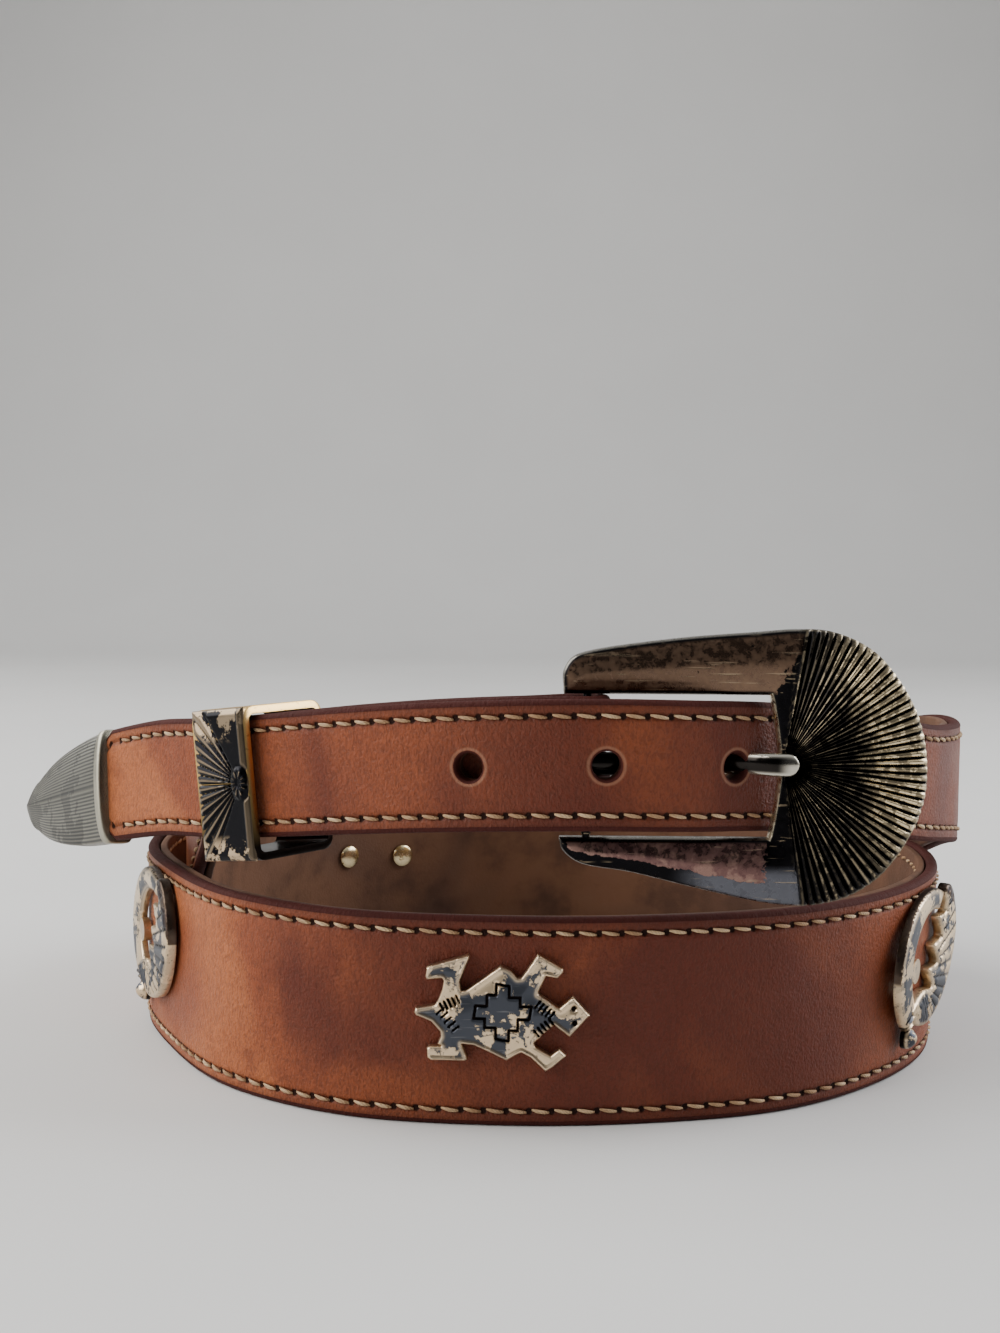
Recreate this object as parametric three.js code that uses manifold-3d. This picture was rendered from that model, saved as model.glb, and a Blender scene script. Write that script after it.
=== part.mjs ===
// A buckled western concho belt, coiled in two turns and standing on its lower edge.
// Millimetres, +Z up. The finished group is centred over the origin and rests at z = 0.
import * as THREE from 'three';
import { mergeVertices } from 'three/addons/utils/BufferGeometryUtils.js';
import Module from 'manifold-3d';

const wasm = await Module();
wasm.setup();

// Leather
const STRAP_WIDTH = 40;
const BILLET_WIDTH = 24;
const LEATHER = 2.5;
const LINING = 1.6;
const EDGE_ROUND = 0.7;
const LINING_INSET = 0.4;
const TAPER_START = 55;
const TAPER_LENGTH = 150;
const FOLD_LENGTH = 98;
const PINCH_LENGTH = 14;

// Coil, seen from above: outer face of the lower turn
const COIL_RADIUS = 90.5;
const BAR_TURN = -3.8;

// Holes in the leather
const PUNCH_DIAMETER = 5.5;
const PUNCH_PITCH = 25.4;
const PUNCH_COUNT = 5;
const SLOT_LENGTH = 9;
const HOOKED_PUNCH = 2;

// Fits
const GAP = 0.3;
const STRAND_GAP = 0.7;
const POST_PLAY = 0.35;
const DRILL_START = 2;
const DRILL_LENGTH = 9.4;

// Buckle
const BAR_DIAMETER = 3.2;
const FRAME_THICKNESS = 3;
const WINDOW_LENGTH = 35.5;
const HOOK_SHARE = 0.8;
const WINDOW_PLAY = 1.3;
const ARM_LEFT_HEIGHT = 7;
const ARM_FAN_HEIGHT = 12.2;
const ARM_OVERHANG = 5;
const FAN_LENGTH = 25.2;
const BUCKLE_DROP = 1.1;
const CUSP_DEPTH = 1.8;
const RAY_COUNT = 48;
const RAY_SPREAD = 82.5;
const RAY_DEPTH = 0.9;

// Tongue
const TONGUE_WIDTH = 4.2;
const TONGUE_THICKNESS = 2.2;
const TONGUE_REST = 3.4;
const TONGUE_RISE = 0.7;

// Keeper
const KEEPER_TURN = 42.6;
const KEEPER_LENGTH = 15;
const KEEPER_WALL = 1.6;
const KEEPER_SLACK = 1.6;
const KEEPER_PLAY = 1.2;
const KEEPER_BACK_PLAY = 6.6;

// Metal tip
const TIP_LENGTH = 34;
const TIP_WALL = 1;
const TIP_RIM = 2.2;
const RIM_SWELL = 1.35;

// Conchos
const CONCHO_COUNT = 7;
const CONCHO_SPACING = 114;
const TURTLE_SPACING = 103;
const CONCHO_RISE = 2.4;
const TURTLE_SHIFT = 7.3;
const CONCHO_PLATE = 1.7;
const CONCHO_RELIEF = 0.9;
const TURTLE_LENGTH = 34;
const TURTLE_BREADTH = 23.4;
const CROSS_REACH = 5.2;
const CROSS_GROOVE = 0.7;
const OPENWORK_LENGTH = 38;
const OPENWORK_HEIGHT = 31;
const CRESCENT_TOP = 62;
const CRESCENT_FOOT = 236;
const INNER_TOP = 70;
const INNER_FOOT = 228;
const BALL_SIZE = 4.6;
const POST_DIAMETER = 2.6;
const POST_SPREAD = 18;
const CAP_DIAMETER = 6;
const CAP_HEIGHT = 1.2;

const STEP_LENGTH = 9;
const ROUND_SIDES = 12;
const BAR_BENDS = 6;
const FULL_TURN = 360;
const POST_SIDES = 8;
const BALL_SIDES = 8;

const PLY_DEPTH = LEATHER + GAP + LINING;
const BAR_DEPTH = LEATHER + GAP + BAR_DIAMETER / 2;

// The course of the strap's outer face. turn is degrees clockwise from the front, seen from above.
// out is a share of COIL_RADIUS, low is the lower edge's height as a share of STRAP_WIDTH,
// lean tips the upper edge outward, in degrees.
const BUCKLED_RUN = [
  { turn: -14.7, out: 1.112, low: 1.442, lean: 0 },
  { turn: -5.0, out: 1.109, low: 1.452, lean: 0 },
  { turn: 4.9, out: 1.087, low: 1.44, lean: 0 },
  { turn: 14.9, out: 1.057, low: 1.41, lean: 0 },
  { turn: 25.2, out: 1.029, low: 1.365, lean: 0 },
  { turn: 35.9, out: 1.012, low: 1.31, lean: 0 },
  { turn: 46.6, out: 1.02, low: 1.255, lean: 0 },
  { turn: 52.4, out: 1.027, low: 1.235, lean: 0 },
];
const INNER_TURN = [
  { turn: 61, out: 0.932, low: 1.1, lean: 0 },
  { turn: 70, out: 0.912, low: 0.88, lean: 0 },
  { turn: 84, out: 0.905, low: 0.6, lean: 0 },
  { turn: 102, out: 0.898, low: 0.35, lean: 0 },
  { turn: 122, out: 0.895, low: 0.17, lean: 0 },
  { turn: 146, out: 0.895, low: 0.045, lean: 0 },
  { turn: 170, out: 0.9, low: 0, lean: 0 },
  { turn: 198, out: 0.905, low: 0, lean: 0 },
  { turn: 226, out: 0.91, low: 0, lean: 0 },
  { turn: 252, out: 0.93, low: 0, lean: 0 },
  { turn: 275, out: 0.975, low: 0, lean: 1 },
];
const OUTER_TURN = [
  { turn: 294, out: 1.004, low: 0, lean: 2 },
  { turn: 312, out: 1.012, low: 0, lean: 3 },
  { turn: 330, out: 1.008, low: 0, lean: 2 },
  { turn: 350, out: 0.98, low: 0, lean: 1 },
  { turn: 368, out: 0.985, low: 0, lean: 0 },
  { turn: 386, out: 1.017, low: 0, lean: 0 },
  { turn: 404, out: 1.015, low: 0, lean: 0 },
  { turn: 424, out: 0.984, low: 0, lean: 0 },
  { turn: 446, out: 1.005, low: 0, lean: 0 },
  { turn: 470, out: 1.012, low: 0, lean: 0 },
  { turn: 500, out: 1.015, low: 0, lean: 0 },
  { turn: 530, out: 1.017, low: 0, lean: 0 },
  { turn: 556, out: 1.02, low: 0.06, lean: 0 },
  { turn: 580, out: 1.03, low: 0.26, lean: 0 },
  { turn: 602, out: 1.045, low: 0.6, lean: 0 },
  { turn: 624, out: 1.05, low: 0.93, lean: 0 },
  { turn: 643, out: 1.046, low: 1.09, lean: 0 },
  { turn: 662, out: 1.035, low: 1.21, lean: 0 },
  { turn: 681, out: 1.03, low: 1.34, lean: 0 },
  { turn: 695.5, out: 1.074, low: 1.415, lean: 0 },
];
const FREE_END = [
  { turn: 58.3, out: 1.04, low: 1.21, lean: -2 },
  { turn: 69.2, out: 1.1, low: 1.12, lean: -6 },
  { turn: 77, out: 1.178, low: 1.02, lean: -10 },
  { turn: 85.1, out: 1.295, low: 0.9, lean: -13 },
];

const LEATHER_BROWN = new THREE.MeshStandardMaterial({ color: 0x7a3f24, roughness: 0.55 });
const LINING_TAN = new THREE.MeshStandardMaterial({ color: 0xa8744a, roughness: 0.8 });
const DARK_SILVER = new THREE.MeshStandardMaterial({ color: 0x4a4640, roughness: 0.4, metalness: 1 });
const BRIGHT_STEEL = new THREE.MeshStandardMaterial({ color: 0xc9c4b8, roughness: 0.2, metalness: 1 });
const WORN_GILT = new THREE.MeshStandardMaterial({ color: 0xb8a684, roughness: 0.4, metalness: 1 });
const PEWTER = new THREE.MeshStandardMaterial({ color: 0x77786f, roughness: 0.45, metalness: 1 });
const BRASS = new THREE.MeshStandardMaterial({ color: 0xc8b078, roughness: 0.3, metalness: 1 });

// Half height of the metal tip as a share, from its rim to its point.
const TIP_SHAPE = [
  { along: 0, half: 1 },
  { along: 0.22, half: 0.98 },
  { along: 0.44, half: 0.92 },
  { along: 0.64, half: 0.81 },
  { along: 0.8, half: 0.65 },
  { along: 0.93, half: 0.42 },
  { along: 1, half: 0.12 },
];

const radians = THREE.MathUtils.degToRad;
const lerp = THREE.MathUtils.lerp;
const smooth = THREE.MathUtils.smoothstep;

function planPoint(turn, out) {
  const reach = out * COIL_RADIUS;
  return [-Math.sin(radians(turn)) * reach, -Math.cos(radians(turn)) * reach];
}

function onSecondTurn(rows) {
  return rows.map((row) => ({ ...row, turn: row.turn + 2 * FULL_TURN }));
}

// The first turn runs just inside the buckled run of the second one.
function underneath(rows, depth) {
  return rows.map((row) => ({ ...row, out: row.out - depth / COIL_RADIUS }));
}

const COURSE = [
  ...underneath(BUCKLED_RUN, PLY_DEPTH + STRAND_GAP),
  ...INNER_TURN,
  ...OUTER_TURN,
  ...onSecondTurn(BUCKLED_RUN),
  ...onSecondTurn(FREE_END),
];

// Width follows the distance from each end of the strap, so it needs the length first.
const spine = new THREE.CatmullRomCurve3(
  COURSE.map((row) => new THREE.Vector3(...planPoint(row.turn, row.out), row.low * STRAP_WIDTH)),
  false,
  'centripetal'
);
const leanSpine = new THREE.CatmullRomCurve3(
  COURSE.map((row) => new THREE.Vector3(row.lean, row.turn, 0)),
  false,
  'centripetal'
);
const SPINE_SAMPLES = 1400;

function measureSpine() {
  const lengths = [0];
  for (let i = 1; i <= SPINE_SAMPLES; i += 1) {
    const here = spine.getPoint(i / SPINE_SAMPLES);
    const before = spine.getPoint((i - 1) / SPINE_SAMPLES);
    lengths.push(lengths[i - 1] + here.distanceTo(before));
  }
  return lengths;
}

const spineLengths = measureSpine();

function spineAt(length) {
  let i = spineLengths.findIndex((value) => value >= length);
  if (i < 1) {
    i = length <= 0 ? 1 : SPINE_SAMPLES;
  }
  const share = (length - spineLengths[i - 1]) / (spineLengths[i] - spineLengths[i - 1]);
  return (i - 1 + share) / SPINE_SAMPLES;
}

function lengthAtTurn(turn) {
  let i = 0;
  while (i < SPINE_SAMPLES && leanSpine.getPoint(i / SPINE_SAMPLES).y < turn) {
    i += 1;
  }
  return spineLengths[i];
}

const barLength = lengthAtTurn(BAR_TURN);
const tipEnd = spineLengths[SPINE_SAMPLES];
const rimLength = tipEnd - TIP_LENGTH;
const leatherEnd = tipEnd - 3 * TIP_WALL;
const overBarLength = lengthAtTurn(BAR_TURN + 2 * FULL_TURN);
const hookedLength = overBarLength - HOOK_SHARE * WINDOW_LENGTH;
const middleLength = (barLength + hookedLength) / 2 + TURTLE_SHIFT;

function tipShare(along) {
  const i = Math.max(1, TIP_SHAPE.findIndex((row) => row.along >= along));
  const low = TIP_SHAPE[i - 1];
  const high = TIP_SHAPE[i];
  return lerp(low.half, high.half, (along - low.along) / (high.along - low.along));
}

// The outline of the belt, whose metal tip is flush with the billet.
function outlineWidth(length) {
  const fromFold = length - barLength;
  const fromTip = hookedLength - length;
  const near = Math.min(fromFold - FOLD_LENGTH, fromTip - TAPER_START);
  const inTip = Math.max(0, length - rimLength) / TIP_LENGTH;
  return lerp(BILLET_WIDTH, STRAP_WIDTH, smooth(near, 0, TAPER_LENGTH)) * tipShare(inTip);
}

// Inside the tip the leather is narrower by the tip's wall and a gap on both sides.
function widthAt(length) {
  const inset = smooth(length, rimLength - 2 * TIP_WALL, rimLength - GAP) * (TIP_WALL + GAP);
  return outlineWidth(length) - 2 * inset;
}

// Frame on the strap's outer face: at its mid width, along it, outward and up.
function frameAt(length) {
  const t = spineAt(length);
  const width = widthAt(length);
  const along = spine.getTangent(t);
  const flatOut = new THREE.Vector3(-along.y, along.x, 0).normalize();
  const flatUp = new THREE.Vector3().crossVectors(along, flatOut).normalize();
  const lean = radians(leanSpine.getPoint(t).x);
  const out = flatOut.clone().multiplyScalar(Math.cos(lean)).addScaledVector(flatUp, -Math.sin(lean));
  const up = flatUp.clone().multiplyScalar(Math.cos(lean)).addScaledVector(flatOut, Math.sin(lean));
  const rise = outlineWidth(Math.min(length, rimLength)) / 2;
  const origin = spine.getPoint(t);
  origin.z = Math.max(0, origin.z) + rise;
  return { origin, along, out, up, width };
}

function toWorld(frame, along, out, up) {
  return frame.origin.clone()
    .addScaledVector(frame.along, along)
    .addScaledVector(frame.out, out)
    .addScaledVector(frame.up, up);
}

function solidFrom(positions, triangles) {
  const flat = new THREE.BufferGeometry();
  flat.setAttribute('position', new THREE.Float32BufferAttribute(positions.flatMap((p) => p.toArray()), 3));
  flat.setIndex(triangles.flat());
  return flat;
}

// Rings of equal count, joined in order and closed at both ends. The diagonals of two plies that
// lie on each other have to match.
function loft(rings, mirrored = false) {
  const count = rings[0].length;
  const triangles = [];
  for (let r = 0; r + 1 < rings.length; r += 1) {
    for (let k = 0; k < count; k += 1) {
      const next = (k + 1) % count;
      const a = r * count + k;
      const b = r * count + next;
      if (mirrored) {
        triangles.push([a, b, a + count], [b, b + count, a + count]);
      } else {
        triangles.push([a, b, b + count], [a, b + count, a + count]);
      }
    }
  }
  const last = (rings.length - 1) * count;
  for (let k = 1; k + 1 < count; k += 1) {
    triangles.push([0, k + 1, k], [last, last + k, last + k + 1]);
  }
  return solidFrom(rings.flat(), triangles);
}

function toManifold(geometry) {
  const bare = geometry.clone();
  bare.deleteAttribute('normal');
  bare.deleteAttribute('uv');
  const merged = mergeVertices(bare, 1e-4);
  const index = merged.index.array;
  return new wasm.Manifold(new wasm.Mesh({
    numProp: 3,
    vertProperties: new Float32Array(merged.attributes.position.array),
    triVerts: new Uint32Array(index),
  }));
}

function toGeometry(solid) {
  const mesh = solid.getMesh();
  const geometry = new THREE.BufferGeometry();
  geometry.setAttribute('position', new THREE.BufferAttribute(new Float32Array(mesh.vertProperties), 3));
  geometry.setIndex(new THREE.BufferAttribute(new Uint32Array(mesh.triVerts), 1));
  geometry.computeVertexNormals();
  return geometry;
}

function named(name, solid, material) {
  const mesh = new THREE.Mesh(toGeometry(solid), material);
  mesh.name = name;
  return mesh;
}

// A ply's section: its outer face is rounded at the edges, as is its inner one.
function plyRing(face, out, up, width, thickness, round = Math.min(EDGE_ROUND, thickness / 3)) {
  const half = width / 2;
  const corners = [
    [0, round - half],
    [0, half - round],
    [-round, half],
    [round - thickness, half],
    [-thickness, half - round],
    [-thickness, round - half],
    [round - thickness, -half],
    [-round, -half],
  ];
  return corners.map(([depth, rise]) => face.clone().addScaledVector(out, depth).addScaledVector(up, rise));
}

function stepsBetween(from, to) {
  const count = Math.max(1, Math.ceil((to - from) / STEP_LENGTH));
  return Array.from({ length: count + 1 }, (_, i) => lerp(from, to, i / count));
}

// How far the folded-back ply stands behind the front one, measured between their outer faces.
function foldSpan(length) {
  const atBar = 2 * BAR_DEPTH;
  const closed = 2 * LEATHER + GAP;
  return lerp(atBar, closed, smooth(length - barLength, 0, PINCH_LENGTH));
}

function foldRings() {
  const rings = [];
  const backSteps = stepsBetween(barLength + PINCH_LENGTH, barLength + FOLD_LENGTH);
  const pinchSteps = [0, 0.25, 0.5, 0.75].map((share) => barLength + share * PINCH_LENGTH);
  for (const length of [...pinchSteps, ...backSteps].reverse()) {
    const frame = frameAt(length);
    const face = toWorld(frame, 0, -foldSpan(length), 0);
    rings.push(plyRing(face, frame.out.clone().negate(), frame.up, frame.width, LEATHER));
  }
  const frame = frameAt(barLength);
  const centre = toWorld(frame, 0, -BAR_DEPTH, 0);
  for (let i = 1; i < BAR_BENDS; i += 1) {
    const angle = Math.PI * i / BAR_BENDS;
    const out = frame.out.clone().multiplyScalar(-Math.cos(angle));
    out.addScaledVector(frame.along, -Math.sin(angle));
    rings.push(plyRing(centre.clone().addScaledVector(out, BAR_DEPTH), out, frame.up, frame.width, LEATHER));
  }
  return rings;
}

const runStations = [
  ...stepsBetween(barLength, rimLength - 2 * TIP_WALL),
  ...stepsBetween(rimLength - GAP, leatherEnd),
];
const liningStations = runStations.filter((length) => length > barLength + FOLD_LENGTH + GAP);

function runRings(stations) {
  return stations.map((length) => {
    const frame = frameAt(length);
    return plyRing(frame.origin, frame.out, frame.up, frame.width, LEATHER);
  });
}

function liningRings() {
  const half = (frame) => frame.width / 2 - LINING_INSET;
  return liningStations.map((length) => {
    const frame = frameAt(length);
    const inner = -LEATHER - GAP - LINING;
    return [
      toWorld(frame, 0, -LEATHER - GAP, -half(frame)),
      toWorld(frame, 0, -LEATHER - GAP, half(frame)),
      toWorld(frame, 0, inner, half(frame)),
      toWorld(frame, 0, inner, -half(frame)),
    ];
  });
}

// A round drill through the strap, from one depth in to another, at a place on its face.
function drill(frame, along, up, diameter, outer, inner, sides = POST_SIDES) {
  const drum = new THREE.CylinderGeometry(diameter / 2, diameter / 2, outer - inner, sides);
  const middle = toWorld(frame, along, (outer + inner) / 2, up);
  const third = frame.along.clone().cross(frame.out);
  const turned = new THREE.Matrix4().makeBasis(frame.along, frame.out, third);
  drum.applyMatrix4(turned.setPosition(middle));
  return toManifold(drum);
}

// A box in a frame: lengths along, outward and up, each with its lowest and highest value.
function block(frame, along, out, up) {
  const box = new THREE.BoxGeometry(along[1] - along[0], out[1] - out[0], up[1] - up[0]);
  const middle = toWorld(frame, (along[0] + along[1]) / 2, (out[0] + out[1]) / 2, (up[0] + up[1]) / 2);
  const turned = new THREE.Matrix4().makeBasis(frame.along, frame.out, frame.up);
  box.applyMatrix4(turned.setPosition(middle));
  return toManifold(box);
}

// An outline drawn along and up in a frame, raised from one depth to another.
function plate(frame, outline, from, to) {
  const raised = extruded(outline, from, to);
  const across = frame.along.clone().negate();
  raised.applyMatrix4(new THREE.Matrix4().makeBasis(across, frame.up, frame.out).setPosition(frame.origin));
  return toManifold(raised);
}

function extruded(outline, from, to) {
  const shape = new THREE.Shape(outline);
  const raised = new THREE.ExtrudeGeometry(shape, { depth: to - from, bevelEnabled: false });
  raised.translate(0, 0, from);
  return raised;
}

function unite(solids) {
  return solids.reduce((sum, solid) => sum.add(solid));
}

function cut(solid, tools) {
  return tools.reduce((left, tool) => left.subtract(tool), solid);
}

// The turtle's neighbours have their own distance from it, the others an even spacing.
const conchoLengths = Array.from({ length: CONCHO_COUNT }, (_, i) => {
  const place = i - (CONCHO_COUNT - 1) / 2;
  return middleLength + place * CONCHO_SPACING + Math.sign(place) * (TURTLE_SPACING - CONCHO_SPACING);
});

function postDrills() {
  const drills = [];
  const diameter = POST_DIAMETER + 2 * POST_PLAY;
  for (const length of conchoLengths) {
    const frame = frameAt(length);
    for (const side of [-1, 1]) {
      const place = side * POST_SPREAD / 2;
      drills.push(drill(frame, place, CONCHO_RISE, diameter, DRILL_START, DRILL_START - DRILL_LENGTH));
    }
  }
  return drills;
}

function punchDrills() {
  const drills = [];
  for (let i = 0; i < PUNCH_COUNT; i += 1) {
    const frame = frameAt(hookedLength + (i - HOOKED_PUNCH) * PUNCH_PITCH);
    drills.push(drill(frame, 0, 0, PUNCH_DIAMETER, 1, -PLY_DEPTH - GAP / 2, ROUND_SIDES));
  }
  return drills;
}

const barFrame = frameAt(barLength);

function tongueSlot() {
  const half = TONGUE_WIDTH / 2 + 3 * GAP;
  return block(barFrame, [-BAR_DEPTH - 1, SLOT_LENGTH], [-2 * BAR_DEPTH - 1, GAP / 2], [-half, half]);
}

const holeDrills = [...punchDrills(), ...postDrills()];

function strap(tongueRoom) {
  const leather = toManifold(loft([...foldRings(), ...runRings(runStations)]));
  return named('strap', cut(leather, [...holeDrills, tongueSlot(), tongueRoom]), LEATHER_BROWN);
}

function lining(tongueRoom) {
  const leather = toManifold(loft(liningRings(), true));
  return named('lining', cut(leather, [...holeDrills, tongueRoom]), LINING_TAN);
}

// The buckle's own frame lies flat on the bar: across runs from the bar to the fan.
const buckle = {
  origin: toWorld(barFrame, 0, -BAR_DEPTH, -BUCKLE_DROP),
  along: new THREE.Vector3(-1, 0, 0),
  out: new THREE.Vector3(0, -1, 0),
  up: new THREE.Vector3(0, 0, 1),
};
const windowHalf = BILLET_WIDTH / 2 + WINDOW_PLAY;
const fanHalf = windowHalf + ARM_FAN_HEIGHT;

function arcPoints(centre, radiusX, radiusY, from, to, count) {
  return Array.from({ length: count + 1 }, (_, i) => {
    const angle = radians(lerp(from, to, i / count));
    return new THREE.Vector2(centre[0] + radiusX * Math.cos(angle), centre[1] + radiusY * Math.sin(angle));
  });
}

function buckleOutline() {
  const left = -ARM_OVERHANG;
  const armEnd = windowHalf + ARM_LEFT_HEIGHT;
  const fanStart = WINDOW_LENGTH + 2;
  return [
    new THREE.Vector2(left, windowHalf + 0.4),
    new THREE.Vector2(left, armEnd - 3),
    new THREE.Vector2(left + 1.2, armEnd - 0.8),
    new THREE.Vector2(left + 3.2, armEnd),
    new THREE.Vector2(fanStart * 0.55, lerp(armEnd, fanHalf, 0.6)),
    ...arcPoints([fanStart, 0], FAN_LENGTH, fanHalf, 90, -90, 22),
    new THREE.Vector2(fanStart * 0.55, -lerp(armEnd, fanHalf, 0.6)),
    new THREE.Vector2(left + 3.2, -armEnd),
    new THREE.Vector2(left + 1.2, 0.8 - armEnd),
    new THREE.Vector2(left, 3 - armEnd),
    new THREE.Vector2(left, -windowHalf - 0.4),
  ];
}

function windowOutline() {
  const cusp = WINDOW_LENGTH - CUSP_DEPTH;
  const beyond = -ARM_OVERHANG - 1;
  return [
    new THREE.Vector2(beyond, -windowHalf),
    new THREE.Vector2(cusp, -windowHalf),
    new THREE.Vector2(WINDOW_LENGTH - 0.4, -windowHalf * 0.5),
    new THREE.Vector2(WINDOW_LENGTH, -TONGUE_WIDTH * 0.5),
    new THREE.Vector2(WINDOW_LENGTH, TONGUE_WIDTH * 0.5),
    new THREE.Vector2(WINDOW_LENGTH - 0.4, windowHalf * 0.5),
    new THREE.Vector2(cusp, windowHalf),
    new THREE.Vector2(beyond, windowHalf),
  ];
}

// Each groove takes this share of the pitch of two rays.
const GROOVE_SHARE = 0.7;

// Rays cut into the fan's face, from its inner edge to its rim.
function rayCuts() {
  const cuts = [];
  for (let i = 0; i < RAY_COUNT; i += 1) {
    const angle = radians(lerp(-RAY_SPREAD, RAY_SPREAD, (i + 0.5) / RAY_COUNT));
    const ray = {
      origin: toWorld(buckle, -WINDOW_LENGTH, FRAME_THICKNESS / 2, 0),
      along: new THREE.Vector3(Math.cos(angle), 0, Math.sin(angle)),
      out: buckle.out,
      up: new THREE.Vector3(-Math.sin(angle), 0, Math.cos(angle)),
    };
    const reach = fanHalf + FAN_LENGTH;
    const far = reach * radians(RAY_SPREAD) / RAY_COUNT * GROOVE_SHARE;
    const groove = [
      [TONGUE_REST * 2.2, 0.12],
      [reach, far],
    ].map(([along, half]) => [
      toWorld(ray, along, 0.2, half),
      toWorld(ray, along, 0.2, -half),
      toWorld(ray, along, -RAY_DEPTH * Math.min(1, half), 0),
    ]);
    cuts.push(toManifold(loft(groove)));
  }
  return cuts;
}

function buckleFrame() {
  const half = FRAME_THICKNESS / 2;
  const body = plate(buckle, buckleOutline(), -half, half);
  const open = plate(buckle, windowOutline(), -half - 1, half + 1);
  const barRadius = BAR_DIAMETER / 2;
  const bar = new THREE.CylinderGeometry(barRadius, barRadius, 2 * windowHalf + 2, ROUND_SIDES);
  bar.rotateX(Math.PI / 2);
  bar.translate(...buckle.origin.toArray());
  const solid = cut(body.subtract(open), rayCuts()).add(toManifold(bar));
  return named('buckle_frame', solid, DARK_SILVER);
}

// The tongue's path in the buckle's frame: distance from the bar as a share of the window,
// and height in front of the bar as a share of its resting height on the fan.
const TONGUE_PATH = [
  { across: 0, lift: 1.03 },
  { across: 0.16, lift: 0.94 },
  { across: 0.38, lift: 0.45 },
  { across: 0.55, lift: -0.1 },
  { across: 0.69, lift: -0.5 },
  { across: 0.81, lift: -0.1 },
  { across: 0.9, lift: 0.5 },
  { across: 0.99, lift: 0.96 },
];

function tonguePath() {
  const lift = FRAME_THICKNESS / 2 + GAP + TONGUE_THICKNESS / 2;
  const rows = TONGUE_PATH.map((row) => new THREE.Vector3(row.across * WINDOW_LENGTH, row.lift * lift, 0));
  return [...rows, new THREE.Vector3(WINDOW_LENGTH + TONGUE_REST, lift, 0)];
}

function tongueSolid(extra) {
  const curve = new THREE.CatmullRomCurve3(tonguePath(), false, 'centripetal');
  const rings = [];
  const count = 18;
  for (let i = 0; i <= count; i += 1) {
    const here = curve.getPoint(i / count);
    const along = curve.getTangent(i / count);
    const nose = i === count ? 0.55 : 1;
    const half = TONGUE_WIDTH / 2 * nose + extra;
    const deep = TONGUE_THICKNESS / 2 * nose + extra;
    const ring = [[-1, -1], [-1, 0.35], [-0.5, 1], [0.5, 1], [1, 0.35], [1, -1]].map(([side, top]) => {
      const across = here.x - along.y * deep * top;
      const lift = here.y + along.x * deep * top;
      return toWorld(buckle, -across, lift, TONGUE_RISE + side * half);
    });
    rings.push(ring.reverse());
  }
  return toManifold(loft(rings));
}

function buckleTongue() {
  const inner = BAR_DIAMETER / 2 + GAP;
  const outer = inner + TONGUE_THICKNESS * 0.8;
  const profile = [
    new THREE.Vector2(inner, -TONGUE_WIDTH / 2),
    new THREE.Vector2(outer, -TONGUE_WIDTH / 2),
    new THREE.Vector2(outer, TONGUE_WIDTH / 2),
    new THREE.Vector2(inner, TONGUE_WIDTH / 2),
    new THREE.Vector2(inner, -TONGUE_WIDTH / 2),
  ];
  const eye = new THREE.LatheGeometry(profile, ROUND_SIDES);
  eye.rotateX(Math.PI / 2);
  eye.translate(...toWorld(buckle, 0, 0, TONGUE_RISE).toArray());
  return named('buckle_tongue', toManifold(eye).add(tongueSolid(0)), BRIGHT_STEEL);
}

// The keeper hangs on the billet's upper edge, so its play is all below.
function keeper() {
  const frame = frameAt(lengthAtTurn(KEEPER_TURN + 2 * FULL_TURN));
  const top = frame.width / 2 + GAP;
  const bottom = top - 2 * GAP - frame.width - 2 * KEEPER_PLAY;
  const front = KEEPER_SLACK;
  const back = -(PLY_DEPTH + STRAND_GAP + 2 * LEATHER + GAP + KEEPER_BACK_PLAY);
  const half = KEEPER_LENGTH / 2;
  const wall = KEEPER_WALL;
  const shell = block(frame, [-half, half], [back - wall, front + wall], [bottom - wall, top + wall]);
  const hollow = block(frame, [-half - 1, half + 1], [back, front], [bottom, top]);
  return named('keeper', shell.subtract(hollow), DARK_SILVER);
}

function tipRing(frame, half, front, back) {
  const bulge = Math.min(0.8, half * 0.3);
  return [
    [front, bulge - half],
    [front + bulge * 0.5, 0],
    [front, half - bulge],
    [front - bulge, half],
    [back + bulge, half],
    [back, half - bulge],
    [back, bulge - half],
    [back + bulge, -half],
    [front - bulge, -half],
  ].map(([out, up]) => toWorld(frame, 0, out, up));
}

// The tip's outer form, or with a wall taken off, the hollow that the billet fills.
function tipForm(from, length, half, front, back) {
  const rings = TIP_SHAPE.map((row) => tipRing(
    frameAt(from + row.along * length),
    half * row.half,
    lerp(front, front * 0.5, row.along),
    lerp(back, back * 0.85, row.along)
  ));
  return toManifold(loft(rings));
}

function strapTip() {
  const inside = BILLET_WIDTH / 2 - TIP_WALL;
  const deep = PLY_DEPTH + 2 * GAP;
  const form = tipForm(rimLength, TIP_LENGTH, inside + TIP_WALL, GAP + TIP_WALL, -deep - TIP_WALL);
  const mouth = frameAt(rimLength + TIP_RIM / 2);
  const rim = block(
    mouth,
    [-TIP_RIM / 2, TIP_RIM / 2],
    [-deep - RIM_SWELL, GAP + RIM_SWELL],
    [-inside - RIM_SWELL, inside + RIM_SWELL]
  );
  const room = toManifold(loft(roomRings()));
  return named('strap_tip', form.add(rim).subtract(room), PEWTER);
}

// The billet's own end with a gap all round.
function roomRings() {
  const stations = runStations.filter((length) => length > rimLength - STEP_LENGTH && length < leatherEnd);
  return [...stations, leatherEnd + GAP].map((length) => {
    const frame = frameAt(length);
    const face = toWorld(frame, 0, GAP, 0);
    return plyRing(face, frame.out, frame.up, frame.width + 2 * GAP, PLY_DEPTH + 3 * GAP, 0);
  });
}

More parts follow.
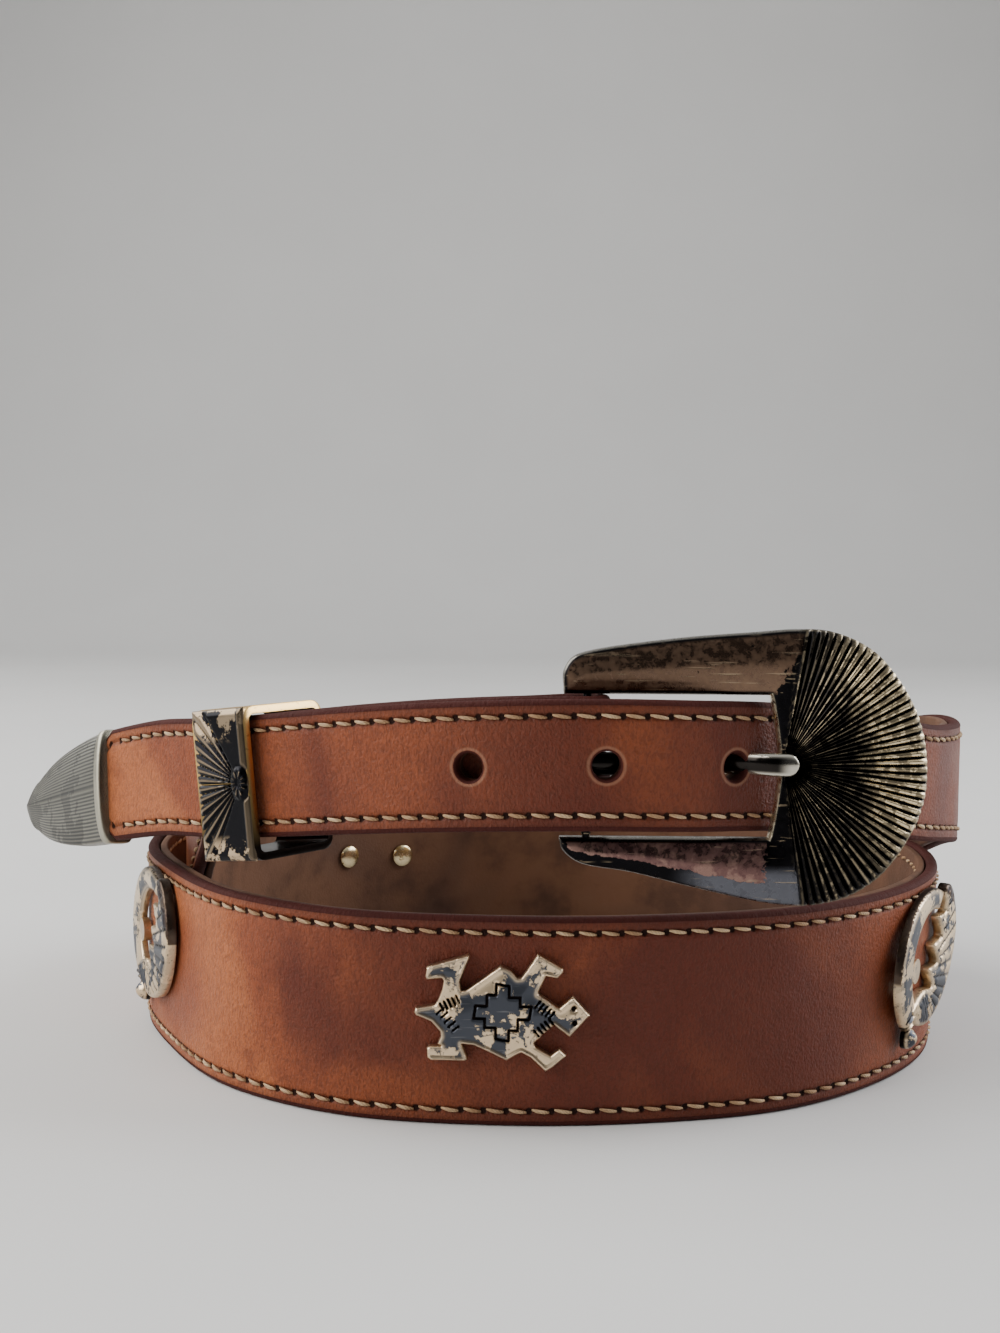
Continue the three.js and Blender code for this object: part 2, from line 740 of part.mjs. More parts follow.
// Turtle seen from above, head to the right: shares of its length and of its breadth.
const TURTLE_OUTLINE = [
  [-0.5, 0.02], [-0.36, 0.12], [-0.33, 0.22], [-0.34, 0.31], [-0.42, 0.3], [-0.43, 0.37], [-0.18, 0.46],
  [-0.17, 0.4], [-0.22, 0.27], [-0.22, 0.2], [0, 0.39], [0.12, 0.3], [0.17, 0.48], [0.33, 0.38],
  [0.28, 0.31], [0.24, 0.29], [0.18, 0.21], [0.3, 0.13], [0.4, 0.15], [0.5, 0.02], [0.4, -0.1],
  [0.3, -0.07], [0.2, -0.16], [0.2, -0.23], [0.29, -0.31], [0.37, -0.3], [0.29, -0.46], [0.22, -0.5],
  [0.14, -0.38], [0, -0.45], [-0.08, -0.38], [-0.24, -0.27], [-0.17, -0.43], [-0.42, -0.43],
  [-0.43, -0.34], [-0.35, -0.24], [-0.34, -0.09],
];
const CROSS_QUARTER = [[1, 0.24], [0.6, 0.24], [0.6, 0.6], [0.24, 0.6], [0.24, 1]];

// Feathered figure in the crescent: shares of the openwork's half length and half height.
const FIGURE_OUTLINE = [
  [-0.62, -0.5], [-0.4, -0.74], [-0.05, -0.84], [0.32, -0.76], [0.64, -0.54], [0.88, -0.16],
  [0.97, 0.28], [0.86, 0.68], [0.62, 0.96], [0.46, 0.92], [0.54, 0.6], [0.28, 0.56], [0.42, 0.28],
  [0.14, 0.2], [0.3, -0.06], [0, -0.1], [0.14, -0.36], [-0.18, -0.34],
];

function outlineOf(shares, sizeX, sizeY) {
  return shares.map(([x, y]) => new THREE.Vector2(x * sizeX, y * sizeY));
}

// A flat plate in the concho's own axes: x to the right, y up, z outward from the leather.
function slab(outline, from, to) {
  return toManifold(extruded(outline, from, to));
}

function steppedCross(size) {
  const points = [];
  for (let side = 0; side < 4; side += 1) {
    for (const corner of outlineOf(CROSS_QUARTER, size, size)) {
      points.push(corner.rotateAround(new THREE.Vector2(), side * Math.PI / 2));
    }
  }
  return points;
}

// The strap curves away behind a flat concho, so its posts reach this much deeper.
const postSag = (POST_SPREAD / 2) ** 2 / (2 * COIL_RADIUS);

function pin(x, radius, from, to, sides) {
  const drum = new THREE.CylinderGeometry(radius, radius, to - from, sides);
  drum.rotateX(Math.PI / 2);
  drum.translate(x, 0, (from + to) / 2);
  return toManifold(drum);
}

function posts() {
  const root = -PLY_DEPTH - postSag / 2;
  const top = GAP + CONCHO_PLATE / 2;
  return [-1, 1].map((side) => pin(side * POST_SPREAD / 2, POST_DIAMETER / 2, root, top, POST_SIDES));
}

function turtle() {
  const top = GAP + CONCHO_PLATE;
  const body = slab(outlineOf(TURTLE_OUTLINE, TURTLE_LENGTH, TURTLE_BREADTH), GAP, top);
  const [around, within] = [CROSS_REACH + CROSS_GROOVE / 2, CROSS_REACH - CROSS_GROOVE / 2]
    .map((reach) => slab(steppedCross(reach), top - CONCHO_RELIEF / 2, top + 1));
  return unite([body.subtract(around.subtract(within)), ...posts()]);
}

// A crescent that ends in a collar and ball, round a feathered figure.
function openwork() {
  const top = GAP + CONCHO_PLATE;
  const halfX = OPENWORK_LENGTH / 2;
  const halfY = OPENWORK_HEIGHT / 2;
  const crescent = slab([
    ...arcPoints([0, 0], halfX, halfY, CRESCENT_TOP, CRESCENT_FOOT, 16),
    ...arcPoints([halfX * 0.08, 0], halfX * 0.66, halfY * 0.7, INNER_FOOT, INNER_TOP, 11),
  ], GAP, top);
  const ballRadius = BALL_SIZE / 2;
  const lastCorner = FULL_TURN * (1 - 1 / BALL_SIDES);
  const ballPlace = [-halfX * 0.52, -halfY * 0.9];
  const ballOutline = arcPoints(ballPlace, ballRadius, ballRadius, 0, lastCorner, BALL_SIDES - 1);
  const ball = slab(ballOutline, GAP, top + CONCHO_RELIEF);
  const figure = slab(outlineOf(FIGURE_OUTLINE, halfX, halfY), GAP, top + CONCHO_RELIEF / 2);
  const lugs = [-1, 1].map((side) => pin(side * POST_SPREAD / 2, POST_DIAMETER, GAP, top, POST_SIDES));
  return unite([crescent, ball, figure, ...lugs, ...posts()]);
}

function rivetCap() {
  const radius = CAP_DIAMETER / 2;
  const profile = [
    new THREE.Vector2(0, -CAP_HEIGHT),
    new THREE.Vector2(radius * 0.6, -CAP_HEIGHT),
    new THREE.Vector2(radius, -CAP_HEIGHT * 0.4),
    new THREE.Vector2(radius, 0),
    new THREE.Vector2(0, 0),
  ];
  const cap = new THREE.LatheGeometry(profile, POST_SIDES + 2);
  cap.rotateX(Math.PI / 2);
  return toManifold(cap);
}

// Stands a piece on the strap at a length along it, sunk by a depth from the outer face.
function onStrap(name, solid, material, length, depth) {
  const mesh = named(name, solid, material);
  const frame = frameAt(length);
  const right = frame.along.clone().negate();
  mesh.setRotationFromMatrix(new THREE.Matrix4().makeBasis(right, frame.up, frame.out));
  mesh.position.copy(toWorld(frame, 0, -depth, CONCHO_RISE));
  return mesh;
}

const model = new THREE.Group();
const tongueRoom = tongueSolid(GAP);
model.add(strap(tongueRoom), lining(tongueRoom), buckleFrame(), buckleTongue(), keeper(), strapTip());
const turtleSolid = turtle();
const openworkSolid = openwork();
const capSolid = rivetCap();
conchoLengths.forEach((length, i) => {
  const isMiddle = i === (CONCHO_COUNT - 1) / 2;
  model.add(onStrap(`concho_${i + 1}`, isMiddle ? turtleSolid : openworkSolid, WORN_GILT, length, 0));
  for (const [side, letter] of [[-1, 'a'], [1, 'b']]) {
    const place = length + side * POST_SPREAD / 2;
    model.add(onStrap(`rivet_cap_${i + 1}${letter}`, capSolid, BRASS, place, PLY_DEPTH + GAP));
  }
});

// Centred over the origin and resting on z = 0.
model.updateMatrixWorld(true);
const extent = new THREE.Box3().setFromObject(model);
const middle = extent.getCenter(new THREE.Vector3());
model.position.set(-middle.x, -middle.y, -extent.min.z);

export default model;
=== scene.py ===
"""A buckled western concho belt, coiled in two turns on its edge, dressed in Blender.

Lengths in the tables and functions are millimetres and become metres when a mesh is made.
"""
import math

import bmesh
import bpy
import numpy as np
from mathutils import Matrix, Vector
from mathutils.geometry import delaunay_2d_cdt


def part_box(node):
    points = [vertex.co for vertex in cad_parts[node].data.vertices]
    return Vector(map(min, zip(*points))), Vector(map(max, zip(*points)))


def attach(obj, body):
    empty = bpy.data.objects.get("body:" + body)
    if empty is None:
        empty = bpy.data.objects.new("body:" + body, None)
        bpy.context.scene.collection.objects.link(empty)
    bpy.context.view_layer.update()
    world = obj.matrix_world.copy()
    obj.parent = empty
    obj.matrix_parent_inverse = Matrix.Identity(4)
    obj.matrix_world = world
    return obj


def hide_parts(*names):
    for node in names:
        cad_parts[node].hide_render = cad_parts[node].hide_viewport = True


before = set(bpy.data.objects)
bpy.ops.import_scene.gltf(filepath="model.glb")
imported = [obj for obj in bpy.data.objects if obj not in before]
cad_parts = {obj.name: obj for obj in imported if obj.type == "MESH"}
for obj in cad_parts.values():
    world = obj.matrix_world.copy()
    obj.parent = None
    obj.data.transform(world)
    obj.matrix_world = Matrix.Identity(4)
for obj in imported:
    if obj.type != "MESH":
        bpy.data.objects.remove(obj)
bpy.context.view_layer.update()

MM = 0.001

# Leather, as the solid model has it
STRAP_WIDTH = 40.0
BILLET_WIDTH = 24.0
LEATHER = 2.5
LINING = 1.6
LINING_INSET = 0.4
TAPER_START = 55.0
TAPER_LENGTH = 150.0
FOLD_LENGTH = 98.0
PINCH_LENGTH = 14.0
COIL_RADIUS = 90.5
BAR_TURN = -3.8
GAP = 0.3
STRAND_GAP = 0.7
PUNCH_DIAMETER = 5.5
PUNCH_PITCH = 25.4
PUNCH_COUNT = 5
HOOKED_PUNCH = 2
SLOT_LENGTH = 9.0
STRAP_EDGE_ROUND = 1.0
LINING_EDGE_ROUND = 0.5

# Where hands have darkened the billet: distance from the hooked hole, and reach either way
HANDLED_PLACE = 38.0
HANDLED_REACH = 26.0

# Stitching: middle of the row from the edge, pitch and length of a stitch
STITCH_MARGIN = 3.0
STITCH_PITCH = 4.3
STITCH_LENGTH = 3.35
THREAD = 0.78
STITCH_SLANT = 0.42

# Buckle
BAR_DIAMETER = 3.2
FRAME_THICKNESS = 3.0
WINDOW_LENGTH = 35.5
HOOK_SHARE = 0.8
WINDOW_PLAY = 1.3
ARM_OVERHANG = 5.0
BUCKLE_DROP = 1.1
CUSP_DEPTH = 1.8
RAY_COUNT = 48
RAY_SPREAD = 82.5
RAY_DEPTH = 0.75
TONGUE_WIDTH = 4.4
TONGUE_THICKNESS = 2.2
TONGUE_REST = 3.4
TONGUE_RISE = 0.7

# Keeper and metal tip
KEEPER_TURN = 42.6
KEEPER_LENGTH = 15.0
KEEPER_WALL = 1.6
KEEPER_SLACK = 1.6
KEEPER_PLAY = 1.2
KEEPER_BACK_PLAY = 6.6
KEEPER_BEND = 1.2
TIP_LENGTH = 34.0
TIP_WALL = 1.0
TIP_RIM = 2.2
RIM_SWELL = 1.35
TIP_NOSE = 0.9
TIP_SIDES = 420
TIP_RAYS = 94

# Conchos
CONCHO_COUNT = 7
CONCHO_SPACING = 114.0
TURTLE_SPACING = 103.0
CONCHO_RISE = 2.4
TURTLE_SHIFT = 7.3
CONCHO_PLATE = 1.7
CONCHO_RELIEF = 0.9
OPENWORK_LENGTH = 38.0
OPENWORK_HEIGHT = 31.0
CRESCENT_TOP = 62
CRESCENT_FOOT = 236
INNER_TOP = 70
INNER_FOOT = 228
BALL_SIZE = 4.6
POST_SPREAD = 18.0
CAP_DIAMETER = 6.0
CAP_HEIGHT = 1.2

PLY_DEPTH = LEATHER + GAP + LINING
BAR_DEPTH = LEATHER + GAP + BAR_DIAMETER / 2
WINDOW_HALF = BILLET_WIDTH / 2 + WINDOW_PLAY

# The course of the strap's outer face: turn in degrees clockwise from the front, reach as a share
# of COIL_RADIUS, lower edge as a share of STRAP_WIDTH, and the upper edge's outward lean in degrees.
BUCKLED_RUN = [
    (-14.7, 1.112, 1.442, 0), (-5.0, 1.109, 1.452, 0), (4.9, 1.087, 1.44, 0), (14.9, 1.057, 1.41, 0),
    (25.2, 1.029, 1.365, 0), (35.9, 1.012, 1.31, 0), (46.6, 1.02, 1.255, 0), (52.4, 1.027, 1.235, 0),
]
INNER_TURN = [
    (61, 0.932, 1.1, 0), (70, 0.912, 0.88, 0), (84, 0.905, 0.6, 0), (102, 0.898, 0.35, 0),
    (122, 0.895, 0.17, 0), (146, 0.895, 0.045, 0), (170, 0.9, 0, 0), (198, 0.905, 0, 0),
    (226, 0.91, 0, 0), (252, 0.93, 0, 0), (275, 0.975, 0, 1),
]
OUTER_TURN = [
    (294, 1.004, 0, 2), (312, 1.012, 0, 3), (330, 1.008, 0, 2), (350, 0.98, 0, 1), (368, 0.985, 0, 0),
    (386, 1.017, 0, 0), (404, 1.015, 0, 0), (424, 0.984, 0, 0), (446, 1.005, 0, 0), (470, 1.012, 0, 0),
    (500, 1.015, 0, 0), (530, 1.017, 0, 0), (556, 1.02, 0.06, 0), (580, 1.03, 0.26, 0),
    (602, 1.045, 0.6, 0), (624, 1.05, 0.93, 0), (643, 1.046, 1.09, 0), (662, 1.035, 1.21, 0),
    (681, 1.03, 1.34, 0), (695.5, 1.074, 1.415, 0),
]
FREE_END = [(58.3, 1.04, 1.21, -2), (69.2, 1.1, 1.12, -6), (77, 1.178, 1.02, -10), (85.1, 1.295, 0.9, -13)]


def on_second_turn(rows):
    return [(turn + 720, reach, low, lean) for turn, reach, low, lean in rows]


def underneath(rows, depth):
    return [(turn, reach - depth / COIL_RADIUS, low, lean) for turn, reach, low, lean in rows]


COURSE = np.array([
    *underneath(BUCKLED_RUN, PLY_DEPTH + STRAND_GAP), *INNER_TURN, *OUTER_TURN,
    *on_second_turn(BUCKLED_RUN), *on_second_turn(FREE_END),
], float)


def smooth(value, low, high):
    share = np.clip((np.asarray(value, float) - low) / (high - low), 0, 1)
    return share * share * (3 - 2 * share)


def unit(vectors):
    return vectors / np.linalg.norm(vectors, axis=-1, keepdims=True)


def through(points):
    """A smooth curve through the points, called with numbers that count the points from 0."""
    points = np.asarray(points, float)
    knots = np.vstack([2 * points[0] - points[1], points, 2 * points[-1] - points[-2]])

    def at(count):
        count = np.atleast_1d(np.asarray(count, float))
        first = np.clip(np.floor(count).astype(int), 0, len(points) - 2)
        t = (count - first)[:, None]
        p0, p1, p2, p3 = (knots[first + k] for k in range(4))
        d0, d1, d2 = (
            np.sqrt(np.maximum(np.linalg.norm(b - a, axis=1, keepdims=True), 1e-9))
            for a, b in ((p0, p1), (p1, p2), (p2, p3))
        )
        m1 = ((p1 - p0) / d0 - (p2 - p0) / (d0 + d1) + (p2 - p1) / d1) * d1
        m2 = ((p2 - p1) / d1 - (p3 - p1) / (d1 + d2) + (p3 - p2) / d2) * d1
        return p1 + m1 * t + (-3 * p1 + 3 * p2 - 2 * m1 - m2) * t**2 + (2 * p1 - 2 * p2 + m1 + m2) * t**3

    return at


COURSE_SAMPLES = 1400
turns = np.radians(COURSE[:, 0])
course_points = np.column_stack([
    -np.sin(turns) * COURSE[:, 1] * COIL_RADIUS,
    -np.cos(turns) * COURSE[:, 1] * COIL_RADIUS,
    COURSE[:, 2] * STRAP_WIDTH,
])
course_curve = through(course_points)
lean_curve = through(np.column_stack([COURSE[:, 3], COURSE[:, 0], 0 * turns]))
row_numbers = np.linspace(0, len(COURSE) - 1, COURSE_SAMPLES + 1)
course_steps = np.linalg.norm(np.diff(course_curve(row_numbers), axis=0), axis=1)
course_lengths = np.concatenate([[0], np.cumsum(course_steps)])
course_turns = lean_curve(row_numbers)[:, 1]


def length_at_turn(turn):
    return course_lengths[np.argmax(course_turns >= turn)]


bar_length = length_at_turn(BAR_TURN)
over_bar_length = length_at_turn(BAR_TURN + 720)
tip_end = course_lengths[-1]
rim_length = tip_end - TIP_LENGTH
leather_end = tip_end - 3 * TIP_WALL
hooked_length = over_bar_length - HOOK_SHARE * WINDOW_LENGTH
middle_length = (bar_length + hooked_length) / 2 + TURTLE_SHIFT
concho_places = np.arange(CONCHO_COUNT) - (CONCHO_COUNT - 1) / 2
concho_lengths = middle_length + concho_places * CONCHO_SPACING
concho_lengths += np.sign(concho_places) * (TURTLE_SPACING - CONCHO_SPACING)

# Half height of the metal tip as a share, from its rim to its point
TIP_SHAPE = np.array([
    (0, 1), (0.22, 0.98), (0.44, 0.92), (0.64, 0.81), (0.8, 0.65), (0.93, 0.42), (1, 0.12),
])


def tip_share(along):
    return np.interp(along, TIP_SHAPE[:, 0], TIP_SHAPE[:, 1])


def outline_width(length):
    near = np.minimum(length - bar_length - FOLD_LENGTH, hooked_length - length - TAPER_START)
    full = BILLET_WIDTH + (STRAP_WIDTH - BILLET_WIDTH) * smooth(near, 0, TAPER_LENGTH)
    return full * tip_share(np.maximum(0, length - rim_length) / TIP_LENGTH)


def width_at(length):
    inset = smooth(length, rim_length - 1, rim_length - GAP) * (TIP_WALL + GAP)
    return outline_width(length) - 2 * inset


class Lie:
    """Frames on the strap's outer face: middle of its width, along it, outward and up."""

    def __init__(self, lengths):
        lengths = np.atleast_1d(np.asarray(lengths, float))
        count = np.interp(lengths, course_lengths, row_numbers)
        nudge = 0.0001 * (len(COURSE) - 1)
        ahead = course_curve(np.minimum(count + nudge, len(COURSE) - 1))
        behind = course_curve(np.maximum(count - nudge, 0))
        lean = np.radians(lean_curve(count)[:, :1])
        self.lengths = lengths
        self.along = unit(ahead - behind)
        flat_out = unit(np.column_stack([-self.along[:, 1], self.along[:, 0], 0 * lengths]))
        flat_up = unit(np.cross(self.along, flat_out))
        self.out = flat_out * np.cos(lean) - flat_up * np.sin(lean)
        self.up = flat_up * np.cos(lean) + flat_out * np.sin(lean)
        self.width = width_at(lengths)
        self.origin = course_curve(count)
        rise = outline_width(np.minimum(lengths, rim_length)) / 2
        self.origin[:, 2] = np.maximum(0, self.origin[:, 2]) + rise

    def point(self, along, out, up, row=slice(None)):
        return (
            self.origin[row] + self.along[row] * np.expand_dims(along, -1)
            + self.out[row] * np.expand_dims(out, -1) + self.up[row] * np.expand_dims(up, -1)
        )


bar_lie = Lie(bar_length)
bar_centre = bar_lie.point(0, -BAR_DEPTH, -BUCKLE_DROP)[0]

# The course is drawn round the coil's centre. The solid buckle says where that lies in the frame.
buckle_low, buckle_high = (np.array(corner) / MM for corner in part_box("buckle_frame"))
SHIFT = np.array([
    buckle_low[0] + ARM_OVERHANG,
    (buckle_low[1] + buckle_high[1]) / 2,
    (buckle_low[2] + buckle_high[2]) / 2,
]) - bar_centre


def tone(red, green, blue):
    """A screen colour as the light that a shader works with."""
    def light(value):
        value /= 255
        return value / 12.92 if value <= 0.04045 else ((value + 0.055) / 1.055) ** 2.4
    return (light(red), light(green), light(blue), 1.0)


# Mesh making

SOFT_CREASE = 38


def new_object(name, points, faces):
    """An object from millimetre points round the coil's centre."""
    mesh = bpy.data.meshes.new(name)
    mesh.from_pydata(((np.asarray(points) + SHIFT) * MM).tolist(), [], [list(face) for face in faces])
    thing = bpy.data.objects.new(name, mesh)
    bpy.context.scene.collection.objects.link(thing)
    return thing


def make_piece(name, points, faces, material, nodes, fields=None, corners=None, crease=SOFT_CREASE):
    """A piece with its fields and finish, riding on the belt."""
    piece = new_object(name, points, faces)
    mesh = piece.data
    for title, values in (fields or {}).items():
        field = mesh.attributes.new(title, "FLOAT", "POINT")
        field.data.foreach_set("value", np.asarray(values, np.float32))
    for title, values in (corners or {}).items():
        layer = mesh.uv_layers.new(name=title)
        layer.uv.foreach_set("vector", np.asarray(values, np.float32).ravel())
    shade(mesh, crease)
    mesh.materials.append(material)
    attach(piece, "root")
    if nodes:
        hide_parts(*nodes)
    turned_outward(mesh)
    return piece


def shade(mesh, crease):
    mesh.polygons.foreach_set("use_smooth", [True] * len(mesh.polygons))
    mesh.set_sharp_from_angle(angle=math.radians(crease))
    mesh.update()


def sweep(rings, closed=False):
    """Quads between rings of equal count, as point rows and faces, with capped ends if open."""
    rows, count = rings.shape[:2]
    faces = []
    for r in range(rows if closed else rows - 1):
        here, there = r * count, ((r + 1) % rows) * count
        for k in range(count):
            n = (k + 1) % count
            faces.append((here + k, here + n, there + n, there + k))
    if not closed:
        faces.append(tuple(range(count))[::-1])
        faces.append(tuple((rows - 1) * count + k for k in range(count)))
    return rings.reshape(-1, 3), faces


def join(parts):
    """Several (points, faces) in one."""
    points, faces, start = [], [], 0
    for some_points, some_faces in parts:
        points.append(some_points)
        faces += [tuple(i + start for i in face) for face in some_faces]
        start += len(some_points)
    return np.vstack(points), faces


def joined_fields(parts):
    """The fields of several parts in one, as join puts their points."""
    return {name: np.concatenate([part[name] for part in parts]) for name in parts[0]}


def plain_fields(names, count, **values):
    """Fields that are the same all over a part, and 0 where no value is given."""
    return {name: np.full(count, float(values.get(name, 0))) for name in names}


def turned_outward(mesh):
    """Every face's front turned to the outside."""
    work = bmesh.new()
    work.from_mesh(mesh)
    bmesh.ops.recalc_face_normals(work, faces=work.faces)
    work.to_mesh(mesh)
    work.free()


# Degrees at which a rounded corner has points
CORNER_ANGLES = [0, 22, 45, 68, 90]


def ring_section(width, thickness, marks, channel, edge_round):
    """Out and up coordinates round a ply, and each point's margin and side, for every station."""
    half = width[:, None] / 2
    corner = np.radians(CORNER_ANGLES)
    marks = np.asarray(marks)
    inner = np.maximum(half - marks[None, :], 0.02 * (len(marks) - np.arange(len(marks)))[None, :])
    dip = channel(marks)
    front_up = np.concatenate([-inner, 0 * half, inner[:, ::-1]], axis=1)
    front_out = np.concatenate([dip, [0], dip[::-1]])[None, :] + 0 * front_up
    edge_out = np.concatenate([
        edge_round * (np.cos(corner) - 1),
        -thickness + edge_round * (1 - np.cos(corner[::-1])),
    ])
    edge_in = np.concatenate([
        edge_round * (1 - np.sin(corner)),
        edge_round * (1 - np.sin(corner[::-1])),
    ])
    top_up = half - edge_in[None, :]
    top_out = edge_out[None, :] + 0 * top_up
    back_share = np.linspace(1, -1, 9)[None, 1:-1]
    back_up = (half - edge_round) * back_share
    back_out = -thickness + 0 * back_up
    out = np.concatenate([front_out, top_out, back_out, top_out[:, ::-1]], axis=1)
    up = np.concatenate([front_up, top_up, back_up, -top_up[:, ::-1]], axis=1)
    margin = half - np.abs(up)
    sides = [1.0] * front_out.shape[1] + [0.5] * top_out.shape[1]
    sides += [0.0] * back_out.shape[1] + [0.5] * top_out.shape[1]
    return out, up, margin, np.array(sides)


def ply(origin, out, up, lengths, width, thickness, marks, channel, edge_round):
    """A leather ply swept along frames, with where each corner lies on the leather."""
    depth, rise, margin, sides = ring_section(width, thickness, marks, channel, edge_round)
    rings = origin[:, None] + out[:, None] * depth[..., None] + up[:, None] * rise[..., None]
    points, faces = sweep(rings)
    count = rings.shape[1]
    place = np.column_stack([np.repeat(lengths, count), rise.ravel()])
    edge = np.column_stack([margin.ravel(), np.tile(sides, len(lengths))])
    loops = np.concatenate([np.array(face) for face in faces])
    return points, faces, {"lie": place[loops] * MM, "margin": edge[loops] * [MM, 1]}


def stations(start, end, step):
    return np.linspace(start, end, max(2, math.ceil((end - start) / step) + 1))


# Distances from the edge at which each ply's face has points
STRAP_MARKS = [1.0, 1.7, 2.3, 2.65, 3.0, 3.35, 3.7, 4.5, 6.5, 9.0]
LINING_MARKS = [0.6, 2.0, 4.0]


def stitch_channel(margin):
    """The thread pulls a shallow channel into the leather, and the edge falls away."""
    channel = -0.38 * np.exp(-(((margin - STITCH_MARGIN) / 0.5) ** 2))
    return channel - 0.16 * np.exp(-((margin / 1.6) ** 2))


def no_channel(margin):
    return 0 * margin


def lathe(profile, sides):
    """Points and faces of a turned form, from (radius, height) rows."""
    angles = np.linspace(0, 2 * np.pi, sides, endpoint=False)
    rings = np.array([
        np.column_stack([r * np.cos(angles), r * np.sin(angles), np.full(sides, z)]) for r, z in profile
    ])
    return sweep(rings)


def in_frame(points, origin, right, up, out):
    """Points with x to the right, y up and z outward, set in a frame."""
    return origin + points[:, :1] * right + points[:, 1:2] * up + points[:, 2:3] * out


def set_on(lie, points, origin=None):
    """Points of something drawn as the strap's front shows it, set at one station of the strap."""
    start = lie.origin[0] if origin is None else origin
    return in_frame(points, start, -lie.along[0], lie.up[0], lie.out[0])


def set_on_bar(points):
    """Points drawn flat from the middle of the buckle's bar, set there to face the front."""
    right, up, out = np.array([(1.0, 0, 0), (0, 0, 1.0), (0, -1.0, 0)])
    return in_frame(points, bar_centre, right, up, out)


def punch(piece):
    """The holes and the slot are cut out of the piece for good."""
    cutter = new_object("punches", *punch_cutters())
    turned_outward(cutter.data)
    cut = piece.modifiers.new("cut", "BOOLEAN")
    cut.operation = "DIFFERENCE"
    cut.solver = "EXACT"
    cut.object = cutter
    bpy.context.view_layer.update()
    graph = bpy.context.evaluated_depsgraph_get()
    done = bpy.data.meshes.new_from_object(piece.evaluated_get(graph))
    piece.modifiers.clear()
    old = piece.data
    piece.data = done
    bpy.data.meshes.remove(old)
    bpy.data.objects.remove(cutter)
    shade(piece.data, SOFT_CREASE)


# Wall of a punched hole: how much wider than the punch, and height over the strap's face
PUNCH_WALL = [(0.6, 1.5), (0.4, 0.04), (0.1, -0.12), (-0.1, -0.4), (-0.15, -0.9), (-0.15, -PLY_DEPTH - 0.15)]


def punch_cutters():
    """Punches with a flared mouth, and the slot for the tongue where the strap folds."""
    profile = [(PUNCH_DIAMETER / 2 + wider, height) for wider, height in PUNCH_WALL]
    parts = []
    for i in range(PUNCH_COUNT):
        lie = Lie(hooked_length + (i - HOOKED_PUNCH) * PUNCH_PITCH)
        points, faces = lathe(profile, 40)
        parts.append((set_on(lie, points), faces))
    half = TONGUE_WIDTH / 2 + 3 * GAP
    left, right = -SLOT_LENGTH, BAR_DEPTH + 1
    outline = [(left, -half), (right, -half), (right, half), (left, half)]
    slot = np.array([(x, y, z) for z in (-2 * BAR_DEPTH - 1, GAP / 2) for x, y in outline], float)
    slot_faces = [(0, 3, 2, 1), (4, 5, 6, 7), (0, 1, 5, 4), (1, 2, 6, 5), (2, 3, 7, 6), (3, 0, 4, 7)]
    parts.append((set_on(bar_lie, slot), slot_faces))
    return join(parts)


def strap_piece(material):
    """The outer leather in one length, folded round the bar."""
    back = Lie(stations(bar_length + PINCH_LENGTH, bar_length + FOLD_LENGTH, 3)[::-1])
    pinch = Lie(stations(bar_length, bar_length + PINCH_LENGTH, 1.8)[:-1][::-1])
    run = Lie(stations(bar_length, leather_end, 2.2))
    stretches = []
    for lie in (back, pinch):
        closed = smooth(lie.lengths - bar_length, 0, PINCH_LENGTH)
        span = 2 * BAR_DEPTH + (2 * LEATHER + GAP - 2 * BAR_DEPTH) * closed
        flat_lengths = 2 * bar_length - lie.lengths - math.pi * BAR_DEPTH
        stretches.append((lie.point(0 * span, -span, 0 * span), -lie.out, lie.up, flat_lengths, lie.width))
    angles = np.linspace(0, math.pi, 16)[1:-1]
    bend_out = -np.cos(angles)[:, None] * bar_lie.out - np.sin(angles)[:, None] * bar_lie.along
    stretches.append((
        bar_lie.point(0, -BAR_DEPTH, 0) + bend_out * BAR_DEPTH, bend_out,
        np.repeat(bar_lie.up, len(angles), axis=0),
        bar_length - (math.pi - angles) * BAR_DEPTH, np.repeat(bar_lie.width, len(angles)),
    ))
    stretches.append((run.origin, run.out, run.up, run.lengths, run.width))
    course = [np.concatenate(part) for part in zip(*stretches)]
    points, faces, corners = ply(*course, LEATHER, STRAP_MARKS, stitch_channel, STRAP_EDGE_ROUND)
    piece = make_piece("strap_leather", points, faces, material, ["strap"], corners=corners)
    punch(piece)


def lining_piece(material):
    """The thinner leather behind the strap, from the end of the fold to the metal tip."""
    lie = Lie(stations(bar_length + FOLD_LENGTH + GAP, leather_end, 2.5))
    face = lie.point(0 * lie.width, 0 * lie.width - LEATHER - GAP, 0 * lie.width)
    width = lie.width - 2 * LINING_INSET
    points, faces, corners = ply(
        face, lie.out, lie.up, lie.lengths, width, LINING, LINING_MARKS, no_channel, LINING_EDGE_ROUND
    )
    piece = make_piece("lining_leather", points, faces, material, ["lining"], corners=corners)
    punch(piece)


